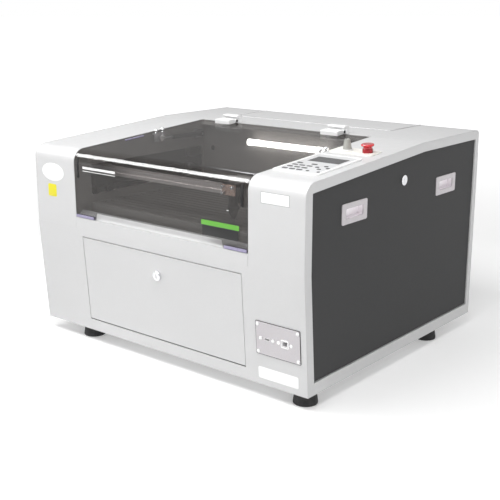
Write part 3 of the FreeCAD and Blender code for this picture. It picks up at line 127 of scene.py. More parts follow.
def on_level(x, y, z):
    """A frame that points straight up."""
    return standing((x, y, z), UP, REARWARD)


# ---------------------------------------------------------------- mesh building
def skin(loops):
    """A closed skin through loops of points with the same count, capped at both ends."""
    mesh = bmesh.new()
    rows = [[mesh.verts.new(point) for point in loop] for loop in loops]
    total = len(rows[0])
    for near, far in zip(rows, rows[1:]):
        for i in range(total):
            j = (i + 1) % total
            mesh.faces.new((near[i], near[j], far[j], far[i]))
    mesh.faces.new(rows[0][::-1])
    mesh.faces.new(rows[-1])
    return mesh


def circle(radius, z, steps=32):
    """A ring of points about Z."""
    return [(radius * math.cos(math.tau * i / steps), radius * math.sin(math.tau * i / steps), z)
            for i in range(steps)]


def polygon_ring(flat, sides, z, steps):
    """A ring of steps points on a regular polygon whose flats are this far from the centre."""
    ring = []
    for i in range(steps):
        turn = math.tau * i / steps
        part = (turn + math.pi / sides) % (math.tau / sides) - math.pi / sides
        radius = flat / math.cos(part)
        ring.append((radius * math.cos(turn), radius * math.sin(turn), z))
    return ring


def rounded_rectangle(width, height, corner, z, inset=0.0, steps=6):
    """A rounded rectangle about the origin, drawn in by an inset."""
    ring = []
    sharpest = 0.15
    radius = max(corner - inset, corner * sharpest)
    across = width / 2 - inset - radius
    up = height / 2 - inset - radius
    for quarter, (sx, sy) in enumerate(((1, 1), (-1, 1), (-1, -1), (1, -1))):
        for i in range(steps + 1):
            turn = math.pi / 2 * (quarter + i / steps)
            ring.append((sx * across + radius * math.cos(turn),
                         sy * up + radius * math.sin(turn), z))
    return ring


def plate(width, height, thick, corner, edge):
    """A flat plate with rounded corners and a rolled upper edge."""
    loops = [rounded_rectangle(width, height, corner, 0),
             rounded_rectangle(width, height, corner, thick - edge)]
    for turn in (30, 60, 90):
        drop = edge * (1 - math.sin(math.radians(turn)))
        inset = edge * (1 - math.cos(math.radians(turn)))
        loops.append(rounded_rectangle(width, height, corner, thick - drop, inset))
    return skin(loops)


def socket_screw(radius, height, steps=24):
    """A domed screw head with a hexagonal socket; the factors are parts of its size."""
    loops = [circle(radius, 0, steps), circle(radius, height * 0.45, steps),
             circle(radius * 0.93, height * 0.75, steps), circle(radius * 0.72, height, steps),
             polygon_ring(radius * 0.45, 6, height, steps),
             polygon_ring(radius * 0.42, 6, height * 0.4, steps)]
    return skin(loops)


def millimetres(pairs):
    """(radius, height) pairs given in millimetres, in metres."""
    return [(radius * MM, height * MM) for radius, height in pairs]


def lathe(profile, steps=40):
    """A turned solid about Z from (radius, height) pairs."""
    return skin([circle(radius, z, steps) for radius, z in profile])


def merged(parts):
    """Several meshes, each with its place, as one."""
    whole = bmesh.new()
    for mesh, place in parts:
        mesh.transform(place)
        data = bpy.data.meshes.new("part")
        mesh.to_mesh(data)
        mesh.free()
        whole.from_mesh(data)
        bpy.data.meshes.remove(data)
    return whole


def spoke_section(radius, sides=8):
    """The round section of a straight wire."""
    return [(radius * math.cos(math.tau * i / sides), radius * math.sin(math.tau * i / sides))
            for i in range(sides)]


def torus(ring_radius, wire, steps=64, sides=10):
    """A ring of round wire about Z."""
    mesh = bmesh.new()
    rows = []
    for i in range(steps):
        turn = math.tau * i / steps
        row = []
        for j in range(sides):
            roll = math.tau * j / sides
            radius = ring_radius + wire * math.cos(roll)
            row.append(mesh.verts.new((radius * math.cos(turn), radius * math.sin(turn),
                                       wire * math.sin(roll))))
        rows.append(row)
    for i in range(steps):
        for j in range(sides):
            k, m = (i + 1) % steps, (j + 1) % sides
            mesh.faces.new((rows[i][j], rows[k][j], rows[k][m], rows[i][m]))
    return mesh


def ribbon(path, across, thick):
    """A flat strip that follows a path in Y and Z; across is its width along X."""
    loops = []
    for i, (y, z) in enumerate(path):
        before, after = path[max(i - 1, 0)], path[min(i + 1, len(path) - 1)]
        run = Vector((0, after[0] - before[0], after[1] - before[1])).normalized()
        inward = Vector((0, run.z, -run.y))
        here = Vector((0, y, z))
        loops.append([here + Vector((sx * across / 2, 0, 0)) + inward * depth
                      for sx, depth in ((-1, 0), (1, 0), (1, thick), (-1, thick))])
    return skin(loops)


def piece(name, body, material, mesh, place=Matrix(), sharp=35):
    """One object from a mesh: put in place, smoothed up to an angle in degrees, and on a body."""
    mesh.transform(place)
    bmesh.ops.remove_doubles(mesh, verts=mesh.verts, dist=1e-6)
    bmesh.ops.recalc_face_normals(mesh, faces=mesh.faces)
    data = bpy.data.meshes.new(name)
    mesh.to_mesh(data)
    mesh.free()
    data.materials.append(material)
    data.polygons.foreach_set("use_smooth", [True] * len(data.polygons))
    data.set_sharp_from_angle(angle=math.radians(sharp))
    thing = bpy.data.objects.new(name, data)
    bpy.context.scene.collection.objects.link(thing)
    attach(thing, body)
    return thing


# ---------------------------------------------------------------- materials
class Finish:
    """A node material around one Principled shader, with detail layers in object space."""

    def __init__(self, name, color, roughness, **sockets):
        self.material = bpy.data.materials.new(name)
        self.material.use_nodes = True
        self.tree = self.material.node_tree
        self.shader = self.tree.nodes["Principled BSDF"]
        self.shader.inputs["Base Color"].default_value = (*color, 1)
        self.shader.inputs["Roughness"].default_value = roughness
        for socket, value in sockets.items():
            self.shader.inputs[socket.replace("_", " ")].default_value = value
        self.color = color
        self.place = self.tree.nodes.new("ShaderNodeTexCoord").outputs["Object"]

    def node(self, kind, **inputs):
        made = self.tree.nodes.new("ShaderNode" + kind)
        for socket, value in inputs.items():
            made.inputs[socket.replace("_", " ")].default_value = value
        return made

    def link(self, source, target):
        self.tree.links.new(source, target)

    def stretched(self, scale):
        """Object space scaled by a different amount along each axis."""
        mapping = self.node("Mapping", Scale=scale)
        self.link(self.place, mapping.inputs["Vector"])
        return mapping.outputs["Vector"]

    def noise(self, scale, detail=3.0, space=None):
        made = self.node("TexNoise", Scale=scale, Detail=detail)
        self.link(space or self.place, made.inputs["Vector"])
        return made.outputs["Fac"]

    def ramp(self, factor, start, end, low=0.0, high=1.0):
        """Map a factor's range onto another, with its ends held."""
        made = self.node("MapRange", From_Min=start, From_Max=end, To_Min=low, To_Max=high)
        self.link(factor, made.inputs["Value"])
        return made.outputs["Result"]

    def tint(self, factor, color):
        """Turn the base colour towards another colour where the factor is high."""
        mix = self.tree.nodes.new("ShaderNodeMix")
        mix.data_type = "RGBA"
        base = self.shader.inputs["Base Color"]
        # of the Mix node's sockets, 0 is the factor and 6, 7 and output 2 are the colours
        if base.is_linked:
            self.link(base.links[0].from_socket, mix.inputs[6])
        else:
            mix.inputs[6].default_value = base.default_value
        mix.inputs[7].default_value = (*color, 1)
        self.link(factor, mix.inputs[0])
        self.link(mix.outputs[2], base)
        return self

    def mottle(self, scale, amount, space=None, detail=4.0):
        """Slight tonal change over the surface."""
        shade = tuple(channel * (1 - amount) for channel in self.color)
        return self.tint(self.ramp(self.noise(scale, detail, space), 0.35, 0.65), shade)

    def rough(self, scale, low, high, space=None):
        """Roughness that wanders between two values."""
        wander = self.ramp(self.noise(scale, 3.0, space), 0.3, 0.7, low, high)
        self.link(wander, self.shader.inputs["Roughness"])
        return self

    def bump(self, height, strength, distance):
        made = self.node("Bump", Strength=strength, Distance=distance)
        self.link(height, made.inputs["Height"])
        target = self.shader.inputs["Normal"]
        if target.is_linked:
            self.link(target.links[0].from_socket, made.inputs["Normal"])
        self.link(made.outputs["Normal"], target)
        return self

    def soft_edges(self, radius):
        """Catch the light along folded and machined edges."""
        made = self.node("Bevel", Radius=radius)
        made.samples = 4
        self.link(made.outputs["Normal"], self.shader.inputs["Normal"])
        return self

    def axis(self, letter):
        split = self.node("SeparateXYZ")
        self.link(self.place, split.inputs[0])
        return split.outputs[letter]

    def stripes(self, letter, pitch):
        """A repeating ridge along one axis, 0 to 1."""
        # a wave texture of scale 1 repeats every pi / 10
        wave = self.node("TexWave", Scale=1 / pitch / 10 * math.pi)
        wave.wave_type = "BANDS"
        wave.bands_direction = letter
        self.link(self.place, wave.inputs["Vector"])
        return wave.outputs["Fac"]


def powder_coat(name, color, grain, roughness=0.42):
    """Powder coat: a fine orange peel, faint clouding and rounded folds."""
    finish = Finish(name, color, roughness)
    finish.soft_edges(0.9 * MM)
    finish.bump(finish.noise(900, 2.0), grain, 0.08 * MM)
    finish.mottle(7, 0.035).mottle(420, 0.03)
    return finish.rough(60, roughness - 0.05, roughness + 0.07).material


def charcoal_coat():
    """Dark textured paint with fine pale grain."""
    finish = Finish("charcoal_coat", (0.027, 0.027, 0.028), 0.62)
    finish.soft_edges(0.8 * MM)
    finish.bump(finish.noise(1300, 3.0), 0.5, 0.12 * MM)
    finish.mottle(5, 0.04)
    finish.tint(finish.ramp(finish.noise(1500, 1.0), 0.60, 0.72), (0.044, 0.044, 0.044))
    return finish.rough(400, 0.58, 0.66).material


def chamber_coat():
    """Satin grey paint inside the chamber, darker towards the bottom."""
    finish = Finish("chamber_coat", (0.32, 0.305, 0.29), 0.40)
    finish.soft_edges(0.8 * MM)
    finish.bump(finish.noise(700, 3.0), 0.35, 0.1 * MM)
    finish.mottle(4, 0.16).mottle(260, 0.07)
    # the paint darkens from the upper height down to the lower one
    full_tone_height, darkest_tone_height = 0.36, 0.05
    depth = finish.ramp(finish.axis("Z"), full_tone_height, darkest_tone_height)
    return finish.tint(depth, (0.16, 0.15, 0.14)).rough(30, 0.32, 0.52).material


def zinc_steel():
    """Galvanised sheet with its spangle."""
    finish = Finish("zinc_steel", (0.56, 0.56, 0.58), 0.34, Metallic=1.0)
    finish.soft_edges(0.5 * MM)
    finish.bump(finish.noise(500, 2.0), 0.2, 0.05 * MM)
    spangle = finish.node("TexVoronoi", Scale=140.0)
    finish.link(finish.place, spangle.inputs["Vector"])
    finish.tint(finish.ramp(spangle.outputs["Color"], 0.2, 0.8, 0.0, 0.7), (0.46, 0.46, 0.49))
    return finish.rough(90, 0.25, 0.45).material


def brushed_aluminium(name, color, along=(12, 900, 900), roughness=0.34):
    """Brushed or anodised metal; the lines run along the axis whose scale is lowest."""
    finish = Finish(name, color, roughness, Metallic=1.0)
    lines = finish.stretched(along)
    finish.soft_edges(0.5 * MM)
    finish.bump(finish.noise(1, 3.0, lines), 0.22, 0.05 * MM)
    finish.mottle(1, 0.10, lines)
    return finish.rough(1, roughness - 0.08, roughness + 0.1, lines).material


def smoked_acrylic():
    """Smoke-tinted clear sheet: dark body, polished faces, fine dust and hairlines."""
    finish = Finish("smoked_acrylic", (0.036, 0.031, 0.028), 0.04, Alpha=0.38, IOR=1.8)
    hairlines = finish.stretched((220, 14, 220))
    finish.bump(finish.noise(1, 2.0, hairlines), 0.02, 0.01 * MM)
    finish.tint(finish.ramp(finish.noise(9, 5.0), 0.45, 0.8, 0.0, 0.5), (0.052, 0.046, 0.042))
    return finish.rough(35, 0.02, 0.06).material


def moulded(name, color, roughness, grain=0.3, fleck=0.05):
    """Moulded plastic: a faint texture and slight flow marks."""
    finish = Finish(name, color, roughness)
    finish.soft_edges(0.5 * MM)
    finish.bump(finish.noise(1600, 2.0), grain, 0.04 * MM)
    finish.mottle(35, fleck).mottle(900, fleck / 2)
    return finish.rough(120, max(roughness - 0.06, 0.04), roughness + 0.06).material


def glossy_red():
    """The lacquered red of an emergency stop."""
    finish = Finish("glossy_red", (0.66, 0.014, 0.022), 0.20, Coat_Weight=1.0,
                    Coat_Roughness=0.12)
    finish.soft_edges(0.6 * MM)
    finish.bump(finish.noise(900, 2.0), 0.12, 0.04 * MM)
    finish.mottle(90, 0.16)
    return finish.rough(150, 0.16, 0.30).material


def black_rubber(name="black_rubber"):
    """Matt rubber with a little dust."""
    finish = Finish(name, (0.022, 0.022, 0.023), 0.72)
    finish.soft_edges(0.8 * MM)
    finish.bump(finish.noise(1100, 4.0), 0.5, 0.15 * MM)
    finish.tint(finish.ramp(finish.noise(70, 5.0), 0.5, 0.85, 0.0, 0.55), (0.075, 0.073, 0.070))
    return finish.rough(80, 0.62, 0.82).material


def polished_chrome():
    """Bright plating, faintly uneven."""
    finish = Finish("polished_chrome", (0.80, 0.80, 0.82), 0.10, Metallic=1.0)
    finish.soft_edges(0.4 * MM)
    finish.bump(finish.noise(260, 2.0), 0.06, 0.05 * MM)
    finish.mottle(60, 0.08)
    return finish.rough(200, 0.06, 0.18).material


def cast_handle():
    """Satin die casting with a slightly warm tone, turned near-white inside its cups as a painted highlight."""
    finish = Finish("cast_handle", (0.60, 0.57, 0.59), 0.42, Metallic=0.35)
    finish.soft_edges(0.9 * MM)
    finish.bump(finish.noise(1200, 3.0), 0.12, 0.04 * MM)
    finish.mottle(50, 0.05)
    across = finish.node("Math")
    across.operation = "ABSOLUTE"
    finish.link(finish.axis("X"), across.inputs[0])
    rim = high("right_panel_pulls").x
    flange, cup_start = 2.2 * MM, 4 * MM
    # painted highlight: the hollow of each cup, past its flange, is turned near-white
    depth = finish.ramp(across.outputs[0], rim - flange, rim - cup_start)
    return finish.tint(depth, (1.0, 0.96, 0.99)).rough(100, 0.36, 0.46).material


def tube_glass():
    """Clear glass of the laser tube."""
    finish = Finish("tube_glass", (0.80, 0.86, 0.88), 0.06, Alpha=0.35, IOR=1.5)
    finish.mottle(18, 0.15)
    return finish.rough(50, 0.03, 0.10).material


def lamp_glass():
    """White diffuser that glows, with metal end caps."""
    finish = Finish("lamp_glass", (0.92, 0.92, 0.90), 0.45, Emission_Strength=6.0)
    finish.shader.inputs["Emission Color"].default_value = (1.0, 0.97, 0.94, 1)
    finish.mottle(60, 0.05)
    finish.bump(finish.noise(500, 2.0), 0.1, 0.05 * MM)
    return finish.rough(90, 0.38, 0.52).material


def circuit_board():
    """Green board with tracks; what stands up from it is dark."""
    finish = Finish("circuit_board", (0.015, 0.13, 0.050), 0.42)
    tracks = finish.node("TexBrick", Scale=220.0)
    finish.link(finish.place, tracks.inputs["Vector"])
    finish.tint(finish.ramp(tracks.outputs["Fac"], 0.4, 0.6), (0.05, 0.24, 0.10))
    chips_top, chip_low, chip_high = high("controller_board").z, 9.5 * MM, 9 * MM
    raised = finish.ramp(finish.axis("Z"), chips_top - chip_low, chips_top - chip_high)
    finish.tint(raised, (0.03, 0.03, 0.032))
    finish.bump(tracks.outputs["Fac"], 0.3, 0.05 * MM)
    return finish.rough(300, 0.34, 0.55).material


def toothed_belt():
    """Black belt with its teeth as ridges across its run."""
    finish = Finish("toothed_belt", (0.028, 0.028, 0.030), 0.68)
    tooth_pitch, tooth_depth = 3 * MM, 0.5 * MM
    finish.bump(finish.stripes("Y", tooth_pitch), 0.8, tooth_depth)
    finish.mottle(200, 0.3)
    return finish.rough(150, 0.6, 0.78).material


def display_glass():
    """Dark window with the faint cells of an unlit screen."""
    finish = Finish("display_glass", (0.060, 0.060, 0.064), 0.16, Coat_Weight=0.4)
    cells = finish.node("TexBrick", Scale=500.0)
    finish.link(finish.place, cells.inputs["Vector"])
    finish.tint(finish.ramp(cells.outputs["Fac"], 0.4, 0.6, 0.0, 0.5), (0.085, 0.088, 0.092))
    finish.mottle(30, 0.2)
    return finish.rough(90, 0.12, 0.22).material


def printed_label(name, color, sheen=0.35):
    """Plain unprinted foil: one colour, slightly uneven where it is rubbed down."""
    finish = Finish(name, color, sheen)
    finish.bump(finish.noise(160, 3.0), 0.15, 0.05 * MM)
    finish.mottle(40, 0.05).mottle(700, 0.03)
    return finish.rough(70, sheen - 0.06, sheen + 0.08).material


FINISHES = {
    "cabinet_paint": lambda: powder_coat("cabinet_coat", (0.635, 0.635, 0.638), 0.35),
    "panel_paint": charcoal_coat,
    "chamber_paint": chamber_coat,
    "plain_steel": zinc_steel,
    "machined_aluminium": lambda: brushed_aluminium("machined_aluminium", (0.80, 0.745, 0.73)),
    "tinted_acrylic": smoked_acrylic,
    "white_plastic": lambda: moulded("white_plastic", (0.93, 0.93, 0.93), 0.36),
    "cream_plastic": lambda: moulded("cream_plastic", (0.90, 0.895, 0.84), 0.32),
    "grey_plastic": lambda: moulded("grey_plastic", (0.37, 0.37, 0.345), 0.52),
    "black_plastic": lambda: moulded("black_plastic", (0.025, 0.025, 0.027), 0.42),
    "dark_glass": display_glass,
    "red_plastic": glossy_red,
    "foot_rubber": black_rubber,
    "bright_chrome": polished_chrome,
    "handle_metal": cast_handle,
    "tube_glass": tube_glass,
    "lamp_glass": lamp_glass,
    "board_green": circuit_board,
    "belt_rubber": toothed_belt,
    "plate_aluminium": lambda: brushed_aluminium("plate_aluminium", (0.53, 0.51, 0.525),
                                                 (700, 2500, 2500), 0.45),
}
MATERIALS = {slot: make() for slot, make in FINISHES.items()}


def dress_nodes():
    """Give every CAD node the finish of its slot."""
    for part in frame["record"]["subparts"]:
        slots = frame["nodes"][part["node"]].data.materials
        slots.clear()
        slots.append(MATERIALS[part["material_slot"]])


def dress_single_nodes():
    """Nodes whose finish differs from the rest of their slot."""
    own = {
        "keypad": moulded("key_dark", (0.085, 0.085, 0.088), 0.5),
        "estop_base": moulded("dark_red", (0.36, 0.012, 0.018), 0.30),
        "io_sockets": moulded("socket_pale", (0.80, 0.79, 0.80), 0.35),
        "gantry_carriages": brushed_aluminium("black_anodised", (0.035, 0.035, 0.037),
                                              (12, 900, 900), 0.42),
    }
    for node, finish in own.items():
        frame["nodes"][node].data.materials[0] = finish


dress_nodes()
dress_single_nodes()
COPPER = brushed_aluminium("copper_anodised", (0.86, 0.62, 0.52), (300, 300, 300), 0.30)


# ---------------------------------------------------------------- lid trim
LID_THICK = 5 * MM
LID_SCREW_INSET = 10 * MM


def lid_trim():
    """Black seal strips up the lid's sides, violet edge strips under its ears and a violet pad."""
    lid_low, lid_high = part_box("lid")
    seal = black_rubber("seal_rubber")
    seal.node_tree.nodes["Principled BSDF"].inputs["Specular IOR Level"].default_value = 0.15
    edge_strip = moulded("edge_strip", (0.34, 0.31, 0.46), 0.3)
    seal_rise, bend_rise = 99 * MM, 132 * MM
    seal_inset, seal_width, seal_thick = 13.5 * MM, 6.5 * MM, 0.8 * MM
    ear_inset, ear_width, channel_height, channel_wall = 33 * MM, 64 * MM, 6 * MM, 0.7 * MM
    strip_start, bend_start = lid_low.z + seal_rise, lid_low.z + bend_rise
    path = [(FRONT_Y, strip_start), (FRONT_Y, bend_start)]
    for turn in (7, 14, 21, 28):
        swing = math.radians(turn)
        path.append((FRONT_Y + LID_BEND * (1 - math.cos(swing)),
                     bend_start + LID_BEND * math.sin(swing)))
    for side, name in ((-1, "left"), (1, "right")):
        x = side * (lid_high.x - seal_inset)
        piece(f"lid_seal_{name}", "lid", seal,
              ribbon(path, seal_width, -seal_thick), Matrix.Translation((x, 0, 0)))
        ear_x = side * (lid_high.x - ear_inset)
        piece(f"lid_edge_{name}", "lid", edge_strip,
              edge_channel(ear_width, LID_THICK, channel_height, channel_wall),
              Matrix.Translation((ear_x, FRONT_Y, lid_low.z)))
    pad_inset, pad_from_front = 28 * MM, 181 * MM
    pad_width, pad_length, pad_thick, pad_corner, pad_edge = (
        4 * MM, 66 * MM, 2.4 * MM, 1.2 * MM, 0.5 * MM)
    slope_length = (TOP_BREAK.y - FRONT_Y) / TOP_OUT.z
    piece("lid_pad", "lid", edge_strip,
          plate(pad_width, pad_length, pad_thick, pad_corner, pad_edge),
          on_top(lid_low.x + pad_inset, slope_length - pad_from_front))


def bracket_caps():
    """Domed caps over the screws of the struts' brackets, on top of the lid."""
    lid_edge = high("lid").x
    half_pitch = 12 * MM
    ahead = (TOP_BREAK.y - middle("strut_lid_brackets").y) / TOP_OUT.z
    dome = millimetres([(4.8, 0), (4.8, 1.6), (4.5, 3.2), (3.4, 4.8), (1.6, 5.6), (0.4, 5.8)])
    places = [on_top(side * (lid_edge - LID_SCREW_INSET), ahead + step * half_pitch)
              for side in (-1, 1) for step in (-1, 1)]
    piece("bracket_caps", "lid", MATERIALS["bright_chrome"],
          merged([(lathe(dome, 32), place) for place in places]))


def edge_channel(length, thick, height, wall):
    """A U-shaped strip pushed over the lower edge of a sheet."""
    slack = 0.05 * MM
    outline = [(-wall, height), (-wall, -wall), (thick + wall, -wall), (thick + wall, height),
               (thick + slack, height), (thick + slack, -slack),
               (-slack, -slack), (-slack, height)]
    return skin([[(sx * length / 2, y, z) for y, z in outline] for sx in (-1, 1)])


def lid_bands():
    """Plain marks on the lid's front: a green band over a dark one, and two white rules."""
    lid_low, lid_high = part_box("lid")
    width, green_height, dark_height = 109 * MM, 11 * MM, 23 * MM
    dark_width = width - 5 * MM
    band_inset, band_rise, band_corner = 22 * MM, 21 * MM, 0.8 * MM
    x = lid_high.x - band_inset - width / 2
    z = lid_low.z + band_rise
    green = printed_label("green_band", (0.13, 0.44, 0.045))
    dark = printed_label("dark_band", (0.014, 0.014, 0.015))
    piece("lid_band_dark", "lid", dark,
          plate(dark_width, dark_height, LABEL_THICK, band_corner, LABEL_EDGE),
          on_front(x, z + dark_height / 2, LABEL_LIFT))
    piece("lid_band_green", "lid", green,
          plate(width, green_height, LABEL_THICK, band_corner, LABEL_EDGE),
          on_front(x, z + dark_height + green_height / 2, LABEL_LIFT))
    rule = printed_label("rule_white", (0.86, 0.86, 0.85))
    rule_inset, rule_width, rule_corner = 89 * MM, 116 * MM, 0.7 * MM
    for name, height, rise in (("wide", 6 * MM, 126 * MM), ("fine", 1.6 * MM, 118 * MM)):
        piece(f"lid_rule_{name}", "lid", rule,
              plate(rule_width, height, LABEL_THICK, rule_corner, LABEL_EDGE),
              on_front(lid_low.x + rule_inset, lid_low.z + rise, LABEL_LIFT))


# ---------------------------------------------------------------- plain labels
def sticker(name, finish, width, height, corner, place, thick=LABEL_THICK):
    """One blank sticker on the cabinet."""
    piece(name, "cabinet", finish, plate(width, height, thick, corner, LABEL_EDGE), place)


def labels():
    """Blank stickers where the cabinet carries its plates. None has any lettering.

    Those on the front are placed inwards from its outer edges and down from the lid's top.
    """
    white = printed_label("white_foil", (0.95, 0.95, 0.95))
    grey = printed_label("grey_rule", (0.33, 0.33, 0.34))
    yellow = printed_label("yellow_foil", (0.80, 0.72, 0.01))
    left_x, right_x = low("left_console").x, high("right_console").x
    top_z = high("lid").z
    half_width, half_height, bevel = 42 * MM, 23 * MM, 0.3 * MM
    oval = skin([[(x * (half_width - inset), y * (half_height - inset), z)
                  for x, y, z in circle(1, level, 48)]
                 for inset, level in ((0, 0), (0, LABEL_THICK * 0.6), (bevel, LABEL_THICK))])
    oval_in, oval_down = 69 * MM, 95 * MM
    piece("label_oval", "cabinet", white, oval,
          on_front(left_x + oval_in, top_z - oval_down, LABEL_LIFT))
    square, square_in, square_down = 32 * MM, 64 * MM, 142 * MM
    sticker("label_yellow", yellow, square, square, 4 * MM,
            on_front(left_x + square_in, top_z - square_down, LABEL_LIFT))
    label_in, label_down, label_width, label_height = 78 * MM, 71 * MM, 73 * MM, 23 * MM
    place = on_front(right_x - label_in, top_z - label_down, LABEL_LIFT)
    rim = 2 * MM
    sticker("label_right_rim", grey, label_width + rim, label_height + rim, 1.5 * MM, place,
            LABEL_THICK * 0.7)
    sticker("label_right", white, label_width, label_height, 1.2 * MM, place)
    sockets_low, sockets_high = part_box("io_plate")
    gap, shift = 46 * MM, 3 * MM
    below_lock = DOOR_LOCK.z - sockets_low.z + gap
    sticker("label_low", white, 110 * MM, 28 * MM, 4 * MM,
            on_lean((sockets_low.x + sockets_high.x) / 2 - shift, -below_lock, LABEL_LIFT))


# ---------------------------------------------------------------- fasteners
INLET_FLANGE = 3 * MM


def screws(name, places, radius, height):
    """One piece made of a socket screw at each place on the cabinet."""
    piece(name, "cabinet", MATERIALS["plain_steel"],
          merged([(socket_screw(radius, height), place) for place in places]))


def hinge_covers():
    """Snap-on caps over the screws of the deck leaves, two on each."""
    corner = high("deck_hinge_leaves")
    half_leaf, half_pitch, rear_inset = 26 * MM, 15 * MM, 9 * MM
    centre = corner.x - half_leaf
    places = [on_level(side * centre + step * half_pitch, corner.y - rear_inset, corner.z)
              for side in (-1, 1) for step in (-1, 1)]
    cap = millimetres([(4.2, 0), (4.2, 0.3), (3.7, 0.7), (2.4, 0.9)])
    piece("hinge_covers", "cabinet", MATERIALS["white_plastic"],
          merged([(lathe(cap, 28), place) for place in places]))


def pin_shade_caps():
    """Push-on caps over the ends of the lid's hinge pins, black as painted shade for the dark pivot holes at the
    hinge ends.
    """
    pivot = Vector(JOINTS["lid_hinge"]["pos_m"])
    leaf_width = 52 * MM
    outer = high("deck_hinge_leaves").x
    inner = outer - leaf_width
    cap = millimetres([(3.6, 0), (3.6, 0.9), (3.1, 1.5), (1.8, 1.9), (0.3, 2.0)])
    places = [standing((side * end, pivot.y, pivot.z), (side * out, 0, 0), UP)
              for side in (-1, 1) for end, out in ((outer, 1), (inner, -1))]
    # painted shade: black caps where the hinge ends show dark pivot holes
    piece("pin_shade_caps", "cabinet", MATERIALS["black_plastic"],
          merged([(lathe(cap, 28), place) for place in places]))


def panel_rim(width, height, corner, border, thick):
    """A rounded rectangular frame: an opening of this width and height with a border round it."""
    profile = ((0, 0), (border, 0), (border, thick * 0.8), (border * 0.8, thick),
               (border * 0.1, thick), (0, thick * 0.9))
    mesh = bmesh.new()
    rows = [[mesh.verts.new(spot) for spot in rounded_rectangle(width, height, corner, z, -out)]
            for out, z in profile]
    total = len(rows[0])
    for near, far in zip(rows, rows[1:] + rows[:1]):
        for i in range(total):
            k = (i + 1) % total
            mesh.faces.new((near[i], near[k], far[k], far[i]))
    return mesh


def sockets_trim():
    """A dark rubber rim round the sockets plate as painted shade along its edge, its bright screw caps and the
    network socket's collar.
    """
    plate_low, plate_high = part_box("io_plate")
    centre = (plate_low + plate_high) / 2
    level = (centre.z - DOOR_LOCK.z) / -LEAN_OUT.y
    width, height, face, slack = 119 * MM, 76 * MM, 1.5 * MM, 0.1 * MM
    shade_rim_corner, shade_rim_border = 1.5 * MM, 1.1 * MM
    # painted shade: a dark rim that gives the plate the dark outline of its shaded edge
    piece("io_shade_rim", "cabinet", MATERIALS["foot_rubber"],
          panel_rim(width + slack, height + slack, shade_rim_corner, shade_rim_border, face),
          on_lean(centre.x, level))
    usb, jack = centre.x - 29.5 * MM, centre.x + 19.5 * MM
    screw_reach, corner_in, corner_down = 17 * MM, 5 * MM, 6 * MM
    spots = [(x + step * screw_reach, level) for x in (usb, jack) for step in (-1, 1)]
    spots += [(centre.x + side * (width / 2 - corner_in),
               level + rise * (height / 2 - corner_down))
              for side in (-1, 1) for rise in (-1, 1)]
    cap = millimetres([(3.9, 0), (3.9, 1.0), (3.4, 1.9), (2.2, 2.6), (0.3, 2.8)])
    bright = moulded("nickel_white", (0.97, 0.97, 0.97), 0.28)
    piece("io_screw_caps", "cabinet", bright,
          merged([(lathe(cap, 28), on_lean(x, up, face)) for x, up in spots]))
    opening_width, opening_height, collar_corner = 16.2 * MM, 14.2 * MM, 0.8 * MM
    collar_border, collar_thick = 2.4 * MM, 1.4 * MM
    piece("jack_collar", "cabinet", bright,
          panel_rim(opening_width, opening_height, collar_corner, collar_border, collar_thick),
          on_lean(jack, level, face))


def rear_screws():
    """Screws round the rear panel, at the fan's corners and beside the mains inlet."""
    inset, left_of_vents, right_of_vents = 12 * MM, -150 * MM, 100 * MM
    panel_low, panel_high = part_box("rear_panel")
    places = [on_rear(x, z)
              for x in (panel_low.x + inset, left_of_vents, right_of_vents, panel_high.x - inset)
              for z in (panel_low.z + inset, panel_high.z - inset)]
    fan, fan_reach = middle("fan_housing"), 54 * MM
    places += [on_rear(fan.x + sx * fan_reach, fan.z + sz * fan_reach)
               for sx in (-1, 1) for sz in (-1, 1)]
    screws("rear_screws", places, radius=3.2 * MM, height=2.2 * MM)
    inlet, inlet_reach = middle("power_inlet"), 25.5 * MM
    places = [on_rear(inlet.x, inlet.z + side * inlet_reach, INLET_FLANGE) for side in (-1, 1)]
    screws("inlet_screws", places, radius=2.4 * MM, height=1.4 * MM)


def foot_screws():
    """The screws that hold the rubber feet, sunk in their bores."""
    pads_low, pads_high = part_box("foot_pads")
    foot_radius, sunk = 28 * MM, 7 * MM
    places = [standing((x, y, pads_low.z + sunk), -UP, REARWARD)
              for x in (pads_high.x - foot_radius, pads_low.x + foot_radius)
              for y in (pads_low.y + foot_radius, pads_high.y - foot_radius)]
    screws("foot_screws", places, radius=7 * MM, height=4 * MM)


# ---------------------------------------------------------------- rear: fan guard and fuse drawer
def fan_guard():
    """Wire finger guard across the exhaust stub."""
    housing = middle("fan_housing")
    wire, sunk = 0.9 * MM, 4 * MM
    inner, outer = 12 * MM, 47.2 * MM
    parts = [(torus(radius * MM, wire), Matrix()) for radius in (12, 20, 28, 36, 44)]
    for turn in range(4):
        swing = Matrix.Rotation(math.tau * turn / 4 + math.pi / 4, 4, "Z")
        spoke = skin([[(reach, y, z) for y, z in spoke_section(wire)]
                      for reach in (inner, outer)])
        parts.append((spoke, swing @ Matrix.Translation((0, 0, -wire))))
    piece("fan_guard", "cabinet", MATERIALS["plain_steel"], merged(parts),
          on_rear(housing.x, housing.z, sunk), 50)


def fuse_drawer():
    """The small drawer in the upper half of the mains inlet."""
    inlet_low, inlet_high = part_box("power_inlet")
    down, width, height, thick = 17 * MM, 19 * MM, 12 * MM, 1.4 * MM
    piece("fuse_drawer", "cabinet", MATERIALS["black_plastic"],
          plate(width, height, thick, 1 * MM, 0.4 * MM),
          on_rear((inlet_low.x + inlet_high.x) / 2, inlet_high.z - down, INLET_FLANGE))


